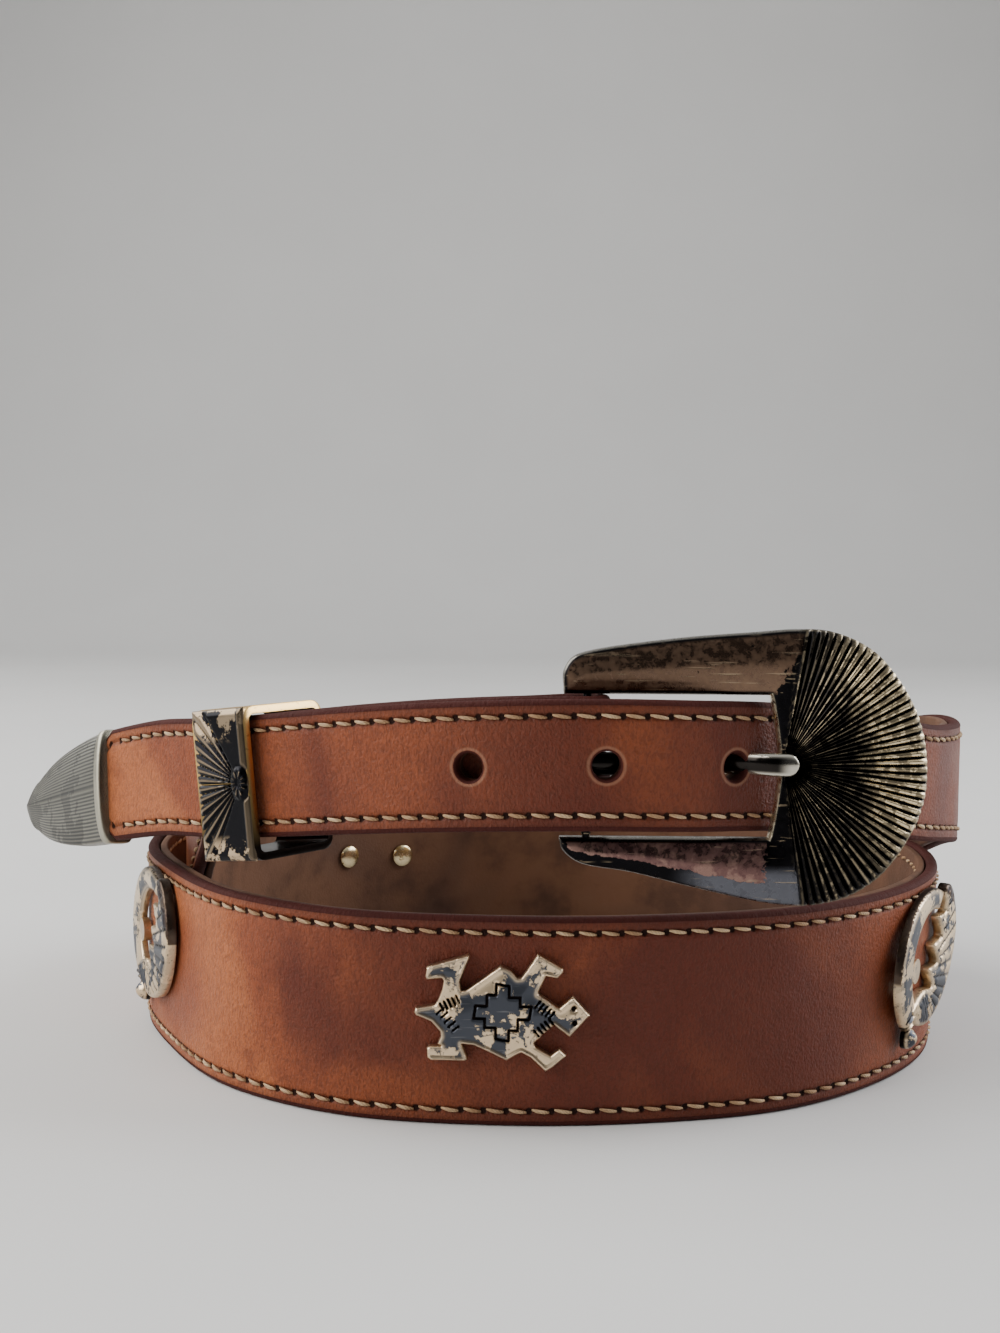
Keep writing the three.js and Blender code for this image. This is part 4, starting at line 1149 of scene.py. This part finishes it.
def mix(tree, share, first, second):
    return lay(tree, "Mix", {0: share, 6: first, 7: second}, data_type="RGBA").outputs[2]


def field(tree, name):
    return lay(tree, "Attribute", attribute_name=name).outputs["Fac"]


def object_place(tree):
    return lay(tree, "TexCoord").outputs["Object"]


def xyz(tree, vector):
    return lay(tree, "SeparateXYZ", {0: vector}).outputs


def noise(tree, place, scale, detail, roughness=0.5, distortion=0.0):
    return lay(tree, "TexNoise", {
        "Vector": place, "Scale": scale, "Detail": detail, "Roughness": roughness, "Distortion": distortion,
    }).outputs["Fac"]


def new_group(name, inputs, outputs):
    """A node group, with the sockets that it is given and those that take its results."""
    group = bpy.data.node_groups.new(name, "ShaderNodeTree")
    for title, kind, default in inputs:
        socket = group.interface.new_socket(title, in_out="INPUT", socket_type="NodeSocket" + kind)
        socket.default_value = default
    for title in outputs:
        group.interface.new_socket(title, in_out="OUTPUT", socket_type="NodeSocketFloat")
    given, result = group.nodes.new("NodeGroupInput"), group.nodes.new("NodeGroupOutput")
    return group, given.outputs, result.inputs


def place_group(tree, group, sockets):
    node = tree.nodes.new("ShaderNodeGroup")
    node.node_tree = group
    fill_sockets(tree, node, sockets)
    return node.outputs


def ragged_patches():
    """Where plating has worn off or tarnish has settled: ragged islands with specks round them."""
    group, given, result = new_group(
        "ragged_patches",
        [("Size", "Float", 150.0), ("Cover", "Float", 0.5), ("Seed", "Float", 0.0)],
        ["Mask", "Specks", "Cloud"],
    )
    shift = lay(group, "CombineXYZ", {0: given["Seed"]}).outputs[0]
    spot = lay(group, "VectorMath", {0: object_place(group), 1: shift}, operation="ADD").outputs[0]
    wide = noise(group, spot, given["Size"], 8.0, roughness=0.62, distortion=0.3)
    fine = noise(group, spot, times(group, given["Size"], 7.0), 3.0)
    level = minus(group, 0.72, times(group, given["Cover"], 0.44))
    ragged = plus(group, wide, times(group, minus(group, fine, 0.5), 0.12))
    group.links.new(ease(group, minus(group, ragged, level), -0.012, 0.02), result["Mask"])
    group.links.new(ease(group, fine, 0.62, 0.68), result["Specks"])
    group.links.new(ease(group, ragged, 0.3, 0.7), result["Cloud"])
    return group


def hide_grain():
    """Pores and short creases across the strap, from where the leather lies."""
    group, given, result = new_group(
        "hide_grain",
        [("Lie", "Vector", (0, 0, 0)), ("Creases", "Float", 0.6)],
        ["Height", "Mottle", "Blotch", "Streak"],
    )
    lie = given["Lie"]
    stretched = lay(group, "Mapping", {"Vector": lie, "Scale": (1.0, 0.4, 1.0)}).outputs[0]
    creases = noise(group, stretched, 1700.0, 3.0, roughness=0.6, distortion=1.2)
    pores = lay(group, "TexVoronoi", {"Vector": lie, "Scale": 1500.0}).outputs["Distance"]
    fine = noise(group, lie, 2600.0, 3.0)
    height = plus(group, times(group, creases, given["Creases"]), times(group, pores, 0.35))
    height = plus(group, height, times(group, fine, 0.25))
    group.links.new(height, result["Height"])
    group.links.new(noise(group, lie, 60.0, 7.0, roughness=0.6), result["Mottle"])
    group.links.new(noise(group, lie, 17.0, 3.0, distortion=0.8), result["Blotch"])
    group.links.new(creases, result["Streak"])
    return group


def fine_scratches():
    """Hair scratches in two directions, as a mask and a height."""
    group, given, result = new_group("fine_scratches", [("Amount", "Float", 0.5)], ["Mask", "Height"])
    place = object_place(group)
    masks = []
    for turn, scale in (((0.3, 0.2, 0.5), 1040.0), ((0.9, 1.3, -0.4), 1680.0)):
        drawn_out = lay(group, "Mapping", {
            "Vector": place, "Rotation": turn, "Scale": (0.06, 1.0, 1.0),
        }).outputs[0]
        masks.append(ease(group, noise(group, drawn_out, scale, 2.0), 0.66, 0.72))
    mask = times(group, greater(group, *masks), given["Amount"])
    group.links.new(mask, result["Mask"])
    group.links.new(times(group, mask, -1.0), result["Height"])
    return group


def stitch_holes():
    """Dark holes between the stitches, from the length and margin of each place on the strap."""
    group, given, result = new_group(
        "stitch_holes", [("Length", "Float", 0.0), ("Margin", "Float", 0.0)], ["Hole", "Channel"]
    )
    along = math_node(group, "PINGPONG", given["Length"], STITCH_PITCH / 2 * MM)
    across = minus(group, given["Margin"], STITCH_MARGIN * MM)
    reach = distance(group, along, across)
    group.links.new(ease(group, reach, 0.45 * MM, 0.8 * MM, 1.0, 0.0), result["Hole"])
    channel = ease(group, math_node(group, "ABSOLUTE", across), 0.3 * MM, 1.1 * MM, 1.0, 0.0)
    group.links.new(channel, result["Channel"])
    return group


def punch_rings():
    """The lighter ring that a punch presses round each billet hole."""
    group, given, result = new_group(
        "punch_rings", [("Length", "Float", 0.0), ("Across", "Float", 0.0)], ["Ring"]
    )
    first = (hooked_length - HOOKED_PUNCH * PUNCH_PITCH) * MM
    last = (PUNCH_COUNT - 1) * PUNCH_PITCH * MM
    from_first = minus(group, given["Length"], first)
    along = math_node(group, "PINGPONG", from_first, PUNCH_PITCH / 2 * MM)
    reach = distance(group, along, given["Across"])
    off = math_node(group, "ABSOLUTE", minus(group, reach, (PUNCH_DIAMETER / 2 + 0.6) * MM))
    ring = ease(group, off, 0.0, 0.5 * MM, 0.38, 0.0)
    after_first = ease(group, from_first, -8 * MM, -6 * MM)
    before_last = ease(group, from_first, last + 6 * MM, last + 8 * MM, 1.0, 0.0)
    group.links.new(times(group, ring, times(group, after_first, before_last)), result["Ring"])
    return group


def new_material(name):
    material = bpy.data.materials.new(name)
    material.use_nodes = True
    tree = material.node_tree
    tree.nodes.clear()
    shader = lay(tree, "BsdfPrincipled")
    surface = tree.nodes.new("ShaderNodeOutputMaterial")
    tree.links.new(shader.outputs[0], surface.inputs["Surface"])
    return material, tree, shader


def coat(tree, shader, colour, rough, metal=0.0):
    """Colour and roughness vary over the surface, and the metal share is the same all over."""
    tree.links.new(colour, shader.inputs["Base Color"])
    tree.links.new(rough, shader.inputs["Roughness"])
    shader.inputs["Metallic"].default_value = metal


def bump(tree, shader, height, strength, depth):
    node = lay(tree, "Bump", {"Height": height, "Strength": strength, "Distance": depth * MM})
    tree.links.new(node.outputs[0], shader.inputs["Normal"])


def strap_finish(groups):
    """Oiled saddle leather: maroon where handling has darkened it and where painted shade falls toward the
    right of the coil, orange where it is worn, painted shade in the creases' hollows, burnished edges.
    """
    material, tree, shader = new_material("saddle_leather")
    lie = lay(tree, "UVMap", uv_map="lie").outputs[0]
    length, across, _ = xyz(tree, lie)
    margin, side, _ = xyz(tree, lay(tree, "UVMap", uv_map="margin").outputs[0])
    to_right = xyz(tree, object_place(tree))[0]
    grain = place_group(tree, groups["hide_grain"], {"Lie": lie, "Creases": 0.75})
    holes = place_group(tree, groups["stitch_holes"], {"Length": length, "Margin": margin})
    rings = place_group(tree, groups["punch_rings"], {"Length": length, "Across": across})
    maroon, saddle, orange = tone(96, 43, 29), tone(140, 73, 43), tone(178, 104, 62)
    crease_shade, pressed, handled = tone(72, 36, 24), tone(176, 132, 104), tone(78, 38, 26)
    channel, hole = tone(70, 34, 22), tone(24, 12, 9)
    from_handled = math_node(tree, "ABSOLUTE", minus(tree, length, (hooked_length + HANDLED_PLACE) * MM))
    darkened = ease(tree, from_handled, 6 * MM, HANDLED_REACH * MM, 0.24, 0.0)
    # Darker toward the right of the coil: painted shade, added to the darkening from handling.
    darkened = plus(tree, darkened, ease(tree, to_right, -70 * MM, 15 * MM, 0.0, 0.25))
    warm = minus(tree, grain["Blotch"], darkened)
    colour = mix(tree, ease(tree, warm, 0.15, 0.42), maroon, saddle)
    colour = mix(tree, ease(tree, warm, 0.42, 0.62, 0.0, 0.85), colour, orange)
    colour = mix(tree, ease(tree, grain["Mottle"], 0.52, 0.72, 0.0, 0.5), colour, maroon)
    # Dark streaks in the hollows of the creases: painted shade.
    colour = mix(tree, ease(tree, grain["Streak"], 0.36, 0.6, 0.42, 0.0), colour, crease_shade)
    colour = mix(tree, rings["Ring"], colour, pressed)
    colour = mix(tree, ease(tree, margin, 0.4 * MM, 3.4 * MM, 0.45, 0.0), colour, handled)
    colour = mix(tree, times(tree, holes["Channel"], 0.45), colour, channel)
    colour = mix(tree, times(tree, holes["Hole"], 0.92), colour, hole)
    face = ease(tree, side, 0.75, 1.0)
    edge_colour = mix(tree, grain["Mottle"], tone(46, 14, 10), tone(76, 28, 20))
    colour = mix(tree, face, edge_colour, colour)
    rough = greater(tree, ease(tree, grain["Mottle"], 0.3, 0.7, 0.4, 0.56), holes["Hole"])
    rough = greater(tree, rough, ease(tree, face, 0.0, 1.0, 0.78, 0.0))
    coat(tree, shader, colour, rough)
    shader.inputs["Specular IOR Level"].default_value = 0.22
    bump(tree, shader, minus(tree, grain["Height"], times(tree, holes["Hole"], 2.2)), 0.7, 0.5)
    return material


def lining_finish(groups):
    """Natural tan lining, its tones darkened as painted shade for the inside of the coil, with a matt,
    slightly fuzzy face.
    """
    material, tree, shader = new_material("tan_lining")
    lie = lay(tree, "UVMap", uv_map="lie").outputs[0]
    grain = place_group(tree, groups["hide_grain"], {"Lie": lie, "Creases": 0.5})
    # All three tones are darkened as painted shade for the lining inside the coil.
    brown, tan, dirt = tone(70, 42, 26), tone(100, 64, 39), tone(50, 29, 19)
    colour = mix(tree, ease(tree, grain["Blotch"], 0.35, 0.65), brown, tan)
    colour = mix(tree, ease(tree, grain["Mottle"], 0.45, 0.7, 0.0, 0.6), colour, dirt)
    coat(tree, shader, colour, ease(tree, grain["Mottle"], 0.3, 0.7, 0.7, 0.9))
    bump(tree, shader, grain["Height"], 0.4, 0.3)
    return material


def thread_finish():
    """Waxed linen thread, soiled in places and darker in bands along its twist."""
    material, tree, shader = new_material("linen_thread")
    place = object_place(tree)
    twist = lay(tree, "TexWave", {
        "Vector": place, "Scale": 900.0, "Distortion": 2.0, "Detail": 1.0,
    }, bands_direction="DIAGONAL").outputs["Fac"]
    soil = noise(tree, place, 130.0, 4.0)
    linen, soiled, twist_band = tone(208, 178, 138), tone(160, 124, 88), tone(128, 94, 64)
    colour = mix(tree, ease(tree, soil, 0.35, 0.65), linen, soiled)
    # Darker in bands along the twist.
    colour = mix(tree, times(tree, twist, 0.35), colour, twist_band)
    coat(tree, shader, colour, ease(tree, soil, 0.3, 0.7, 0.55, 0.75))
    bump(tree, shader, twist, 0.5, 0.2)
    return material


def arm_colour(tree, patches, ragged, wear, scratches):
    """Coppery panels with ragged borders on the buckle's arms, in black and slate oxide, with a painted
    highlight along their edges.
    """
    edge, below = field(tree, "edge"), field(tree, "below")
    upper = mix(tree, wear["Cloud"], tone(96, 76, 64), tone(124, 100, 82))
    lower = mix(tree, wear["Cloud"], tone(90, 65, 64), tone(124, 94, 89))
    lower = mix(tree, ease(tree, ragged["Cloud"], 0.45, 0.8, 0.0, 0.4), lower, tone(168, 136, 122))
    copper = mix(tree, below, upper, lower)
    jagged = plus(tree, field(tree, "panel"), times(tree, minus(tree, ragged["Cloud"], 0.5), 0.62))
    bare = times(tree, ease(tree, jagged, 0.46, 0.52), minus(tree, 1.0, patches["Mask"]))
    bare = times(tree, bare, ease(tree, edge, 0.5, 1.1))
    slate = times(tree, field(tree, "slate"), ease(tree, wear["Cloud"], 0.1, 0.5, 0.75, 1.0))
    oxide = mix(tree, slate, tone(20, 19, 21), tone(92, 93, 100))
    colour = mix(tree, bare, oxide, copper)
    colour = mix(tree, times(tree, scratches["Mask"], 0.5), colour, tone(190, 170, 140))
    # The light grey along the edges is a painted highlight.
    return mix(tree, ease(tree, edge, 0.05, 0.4, 0.6, 0.0), colour, tone(170, 165, 155)), bare


def fan_colour(tree, wear):
    """Black between the fan's rays, with hair lines on the crests, cream on worn crests under a painted sheen
    toward the upper right, and a painted highlight along the edge.
    """
    crest = field(tree, "crest")
    # Cream on the worn crests where the painted sheen falls.
    wear_and_sheen = times(tree, ease(tree, crest, 0.42, 0.76), ease(tree, field(tree, "glow"), 0.1, 0.55))
    wear_and_sheen = times(tree, wear_and_sheen, minus(tree, 1.0, times(tree, wear["Mask"], 0.75)))
    hair = times(tree, ease(tree, crest, 0.8, 1.0), ease(tree, field(tree, "luck"), 0.3, 1.0, 0.1, 0.85))
    hair = times(tree, hair, ease(tree, wear["Cloud"], 0.35, 0.65, 0.15, 1.0))
    colour = mix(tree, hair, tone(22, 21, 22), tone(160, 146, 120))
    colour = mix(tree, wear_and_sheen, colour, tone(236, 216, 176))
    # The light line along the fan's edge is a painted highlight.
    return mix(tree, ease(tree, field(tree, "edge"), 0.1, 0.45, 0.35, 0.0), colour, tone(150, 140, 122))


def buckle_finish(groups):
    """Black-filled cast silver: a fan of rays with a painted sheen, two arms, and a painted highlight along
    the cusp.
    """
    material, tree, shader = new_material("cast_buckle")
    patches, ragged, wear = (
        place_group(tree, groups["ragged_patches"], {"Size": size, "Cover": cover, "Seed": seed})
        for size, cover, seed in ((260.0, 0.09, 3.1), (300.0, 0.5, 5.3), (620.0, 0.5, 7.7))
    )
    scratches = place_group(tree, groups["fine_scratches"], {"Amount": 0.7})
    arm, bare = arm_colour(tree, patches, ragged, wear, scratches)
    colour = mix(tree, field(tree, "fan"), arm, fan_colour(tree, wear))
    # A painted highlight along the cusp's edge.
    painted_lip_highlight = ease(tree, field(tree, "lip"), 0.25, 0.6, 0.9, 0.0)
    colour = mix(tree, painted_lip_highlight, colour, tone(226, 214, 186))
    coat(tree, shader, colour, ease(tree, wear["Cloud"], 0.3, 0.7, 0.26, 0.42), metal=1.0)
    bump(tree, shader, minus(tree, scratches["Height"], bare), 0.3, 0.1)
    return material


def tongue_finish(groups):
    """Plated tongue: a painted dark reflection along its crown and painted shade behind the billet, bright
    down its sides and nose.
    """
    material, tree, shader = new_material("plated_tongue")
    scratches = place_group(tree, groups["fine_scratches"], {"Amount": 0.8})
    crown = ease(tree, field(tree, "crown"), 0.72, 0.92)
    travel = field(tree, "travel")
    # Dark along the crown is a painted reflection, and dark on the stretch behind the billet is painted
    # shade.
    dark = times(tree, crown, ease(tree, travel, 0.9, 0.965, 1.0, 0.15))
    dark = greater(tree, dark, ease(tree, travel, 0.5, 0.62, 1.0, 0.0))
    colour = mix(tree, scratches["Mask"], tone(206, 200, 186), tone(150, 142, 130))
    colour = mix(tree, dark, colour, tone(40, 37, 35))
    coat(tree, shader, colour, ease(tree, scratches["Mask"], 0.0, 1.0, 0.14, 0.3), metal=1.0)
    bump(tree, shader, scratches["Height"], 0.2, 0.05)
    return material


def keeper_finish(groups):
    """Dark keeper face with thin worn rays, bare patches and a painted highlight along its edge, a gilt band
    on top outside, and the rest of the band painted black as shade within.
    """
    material, tree, shader = new_material("cast_keeper")
    patches = place_group(tree, groups["ragged_patches"], {"Size": 230.0, "Cover": 0.5, "Seed": 1.3})
    scratches = place_group(tree, groups["fine_scratches"], {"Amount": 0.5})
    lit = times(tree, ease(tree, field(tree, "crest"), 0.86, 1.0), 0.36)
    lit = greater(tree, lit, times(tree, field(tree, "border"), 0.2))
    # The light along the face's edge is a painted highlight.
    lit = greater(tree, lit, ease(tree, field(tree, "edge"), 0.08, 0.25, 0.3, 0.0))
    for name, strength in (("top_patch", 0.42), ("foot_patch", 0.9)):
        lit = greater(tree, lit, times(tree, patches["Mask"], times(tree, field(tree, name), strength)))
    face = mix(tree, lit, tone(24, 24, 27), tone(204, 180, 148))
    plated = mix(tree, scratches["Mask"], tone(240, 200, 130), tone(172, 138, 92))
    # Off the band's outer face on top, the band is painted black as the shade within the keeper.
    band = mix(tree, field(tree, "gilt"), tone(24, 19, 17), plated)
    colour = mix(tree, field(tree, "band"), face, band)
    coat(tree, shader, colour, ease(tree, lit, 0.0, 1.0, 0.28, 0.4), metal=1.0)
    bump(tree, shader, scratches["Height"], 0.25, 0.08)
    return material


def pewter_finish(groups):
    """Brushed pewter tip, dark between its rays, with a light rim."""
    material, tree, shader = new_material("pewter_tip")
    crest = field(tree, "crest")
    patches = place_group(tree, groups["ragged_patches"], {"Size": 90.0, "Cover": 0.45, "Seed": 9.2})
    colour = mix(tree, ease(tree, crest, 0.1, 0.95), tone(84, 84, 82), tone(134, 132, 122))
    colour = mix(tree, times(tree, patches["Mask"], 0.4), colour, tone(58, 58, 60))
    colour = mix(tree, field(tree, "rim"), colour, tone(168, 164, 148))
    coat(tree, shader, colour, ease(tree, patches["Mask"], 0.0, 1.0, 0.38, 0.5), metal=0.9)
    bump(tree, shader, crest, 0.3, 0.06)
    return material


def concho_finish(groups):
    """Cream plating worn through to slate in ragged islands, black in the grooves, bright rims."""
    material, tree, shader = new_material("worn_concho")
    patches = place_group(tree, groups["ragged_patches"], {"Size": 170.0, "Cover": 0.54, "Seed": 4.6})
    scratches = place_group(tree, groups["fine_scratches"], {"Amount": 0.5})
    cream = mix(tree, patches["Specks"], tone(222, 198, 164), tone(160, 142, 124))
    slate = mix(tree, scratches["Mask"], tone(74, 77, 84), tone(130, 130, 132))
    spared = minus(tree, 1.0, times(tree, field(tree, "crest"), 0.6))
    dark = times(tree, patches["Mask"], spared)
    dark = times(tree, dark, ease(tree, field(tree, "edge"), 0.2, 0.45, 0.25, 1.0))
    colour = mix(tree, dark, cream, slate)
    colour = mix(tree, ease(tree, field(tree, "groove"), 0.25, 0.75), colour, tone(22, 16, 14))
    colour = mix(tree, ease(tree, field(tree, "shade"), 0.3, 0.7, 0.0, 0.9), colour, tone(44, 32, 34))
    coat(tree, shader, colour, ease(tree, dark, 0.0, 1.0, 0.3, 0.42), metal=1.0)
    bump(tree, shader, times(tree, patches["Mask"], -1.0), 0.35, 0.12)
    return material


def cap_finish(groups):
    """Brass rivet caps, rubbed bright on top."""
    material, tree, shader = new_material("brass_cap")
    patches = place_group(tree, groups["ragged_patches"], {"Size": 300.0, "Cover": 0.3, "Seed": 2.4})
    colour = mix(tree, patches["Mask"], tone(222, 204, 164), tone(150, 122, 80))
    coat(tree, shader, colour, ease(tree, patches["Mask"], 0.0, 1.0, 0.22, 0.42), metal=1.0)
    return material


def table_finish():
    """Plain pale tabletop, matt."""
    material, tree, shader = new_material("pale_table")
    colour = mix(tree, noise(tree, object_place(tree), 9.0, 3.0), tone(214, 213, 211), tone(222, 221, 219))
    tree.links.new(colour, shader.inputs["Base Color"])
    shader.inputs["Roughness"].default_value = 0.75
    return material


# Studio, in metres: the sweep of table and backdrop, and soft lamps that look at the belt
SWEEP_FRONT = -1.2
SWEEP_DEPTH = 1.5
SWEEP_HEIGHT = 1.6
SWEEP_BEND = 0.35
SWEEP_HALF_WIDTH = 2.2
LAMP_AIM = (0, 0, 0.04)
LAMPS = [
    # name, place, size, watts, colour
    ("window_light", (-0.85, 0.30, 0.75), 0.9, 13.0, (1.0, 0.99, 0.97)),
    ("left_light", (-0.85, -0.45, 0.5), 0.7, 7.6, (1.0, 0.98, 0.95)),
    ("right_light", (0.9, 0.15, 0.5), 0.8, 12.0, (0.97, 0.98, 1.0)),
]


def table_sweep(material):
    """A pale table that bends up into the backdrop."""
    profile = [(SWEEP_FRONT, 0.0)]
    for angle in np.radians(np.linspace(0, 90, 13)):
        profile.append((
            SWEEP_DEPTH - SWEEP_BEND * (1 - math.sin(angle)), SWEEP_BEND * (1 - math.cos(angle)),
        ))
    profile.append((SWEEP_DEPTH, SWEEP_HEIGHT))
    verts = [(x, y, z) for y, z in profile for x in (-SWEEP_HALF_WIDTH, SWEEP_HALF_WIDTH)]
    faces = [(2 * i, 2 * i + 1, 2 * i + 3, 2 * i + 2) for i in range(len(profile) - 1)]
    mesh = bpy.data.meshes.new("table_sweep")
    mesh.from_pydata(verts, [], faces)
    mesh.polygons.foreach_set("use_smooth", [True] * len(mesh.polygons))
    mesh.materials.append(material)
    table = bpy.data.objects.new("table_sweep", mesh)
    bpy.context.scene.collection.objects.link(table)


def studio_light():
    """Three soft lamps, and a world that is darker below and behind the camera."""
    for name, place, size, power, colour in LAMPS:
        light = bpy.data.lights.new(name, "AREA")
        light.shape = "SQUARE"
        light.size = size
        light.energy = power
        light.color = colour
        lamp = bpy.data.objects.new(name, light)
        lamp.location = place
        lamp.rotation_euler = (Vector(LAMP_AIM) - Vector(place)).to_track_quat("-Z", "Y").to_euler()
        bpy.context.scene.collection.objects.link(lamp)
    world = bpy.data.worlds.new("studio")
    world.use_nodes = True
    tree = world.node_tree
    _, back, up = xyz(tree, lay(tree, "TexCoord").outputs["Generated"])
    toward_wall = plus(tree, times(tree, back, 0.7), up)
    sky = mix(tree, ease(tree, toward_wall, -0.5, 0.9), (0.10, 0.10, 0.105, 1), (1.0, 1.01, 1.02, 1))
    tree.links.new(sky, tree.nodes["Background"].inputs["Color"])
    tree.nodes["Background"].inputs["Strength"].default_value = 0.62
    bpy.context.scene.world = world


# Camera, from the coil's centre: where the photographer held it, how far it looks down and its roll
CAMERA_PLACE = (-10.0, -429.8, 113.08)
CAMERA_DOWN = 0.076281
CAMERA_ROLL = 0.0076125


def set_camera():
    """The photographer's view, with a plain 50 mm lens."""
    data = bpy.data.cameras.new("photographer")
    data.lens = 50
    data.sensor_width = 36
    data.clip_start = 0.01
    camera = bpy.data.objects.new("photographer", data)
    bpy.context.scene.collection.objects.link(camera)
    right, ahead = Vector((1, 0, 0)), Vector((0, math.cos(CAMERA_DOWN), -math.sin(CAMERA_DOWN)))
    up = right.cross(ahead)
    tilted_right = right * math.cos(CAMERA_ROLL) + up * math.sin(CAMERA_ROLL)
    tilted_up = up * math.cos(CAMERA_ROLL) - right * math.sin(CAMERA_ROLL)
    turned = Matrix((tilted_right, tilted_up, -ahead)).transposed().to_4x4()
    place = (np.array(CAMERA_PLACE) + SHIFT * [1, 1, 0]) * MM
    turned.translation = Vector(place)
    camera.matrix_world = turned
    bpy.context.scene.camera = camera


def dress_belt():
    """Every piece of the belt in its own finish."""
    groups = {make.__name__: make() for make in (
        ragged_patches, hide_grain, fine_scratches, stitch_holes, punch_rings)}
    strap_piece(strap_finish(groups))
    lining_piece(lining_finish(groups))
    stitching(thread_finish())
    buckle_piece(buckle_finish(groups))
    tongue_piece(tongue_finish(groups))
    keeper_piece(keeper_finish(groups))
    tip_piece(pewter_finish(groups))
    concho_metal, brass = concho_finish(groups), cap_finish(groups)
    for i, length in enumerate(concho_lengths):
        build = turtle_piece if i == (CONCHO_COUNT - 1) // 2 else openwork_piece
        build(f"cast_concho_{i + 1}", f"concho_{i + 1}", length, concho_metal)
        for side, letter in ((-1, "a"), (1, "b")):
            place = length + side * POST_SPREAD / 2
            cap_piece(f"domed_cap_{i + 1}{letter}", f"rivet_cap_{i + 1}{letter}", place, brass)


set_camera()
table_sweep(table_finish())
studio_light()
dress_belt()
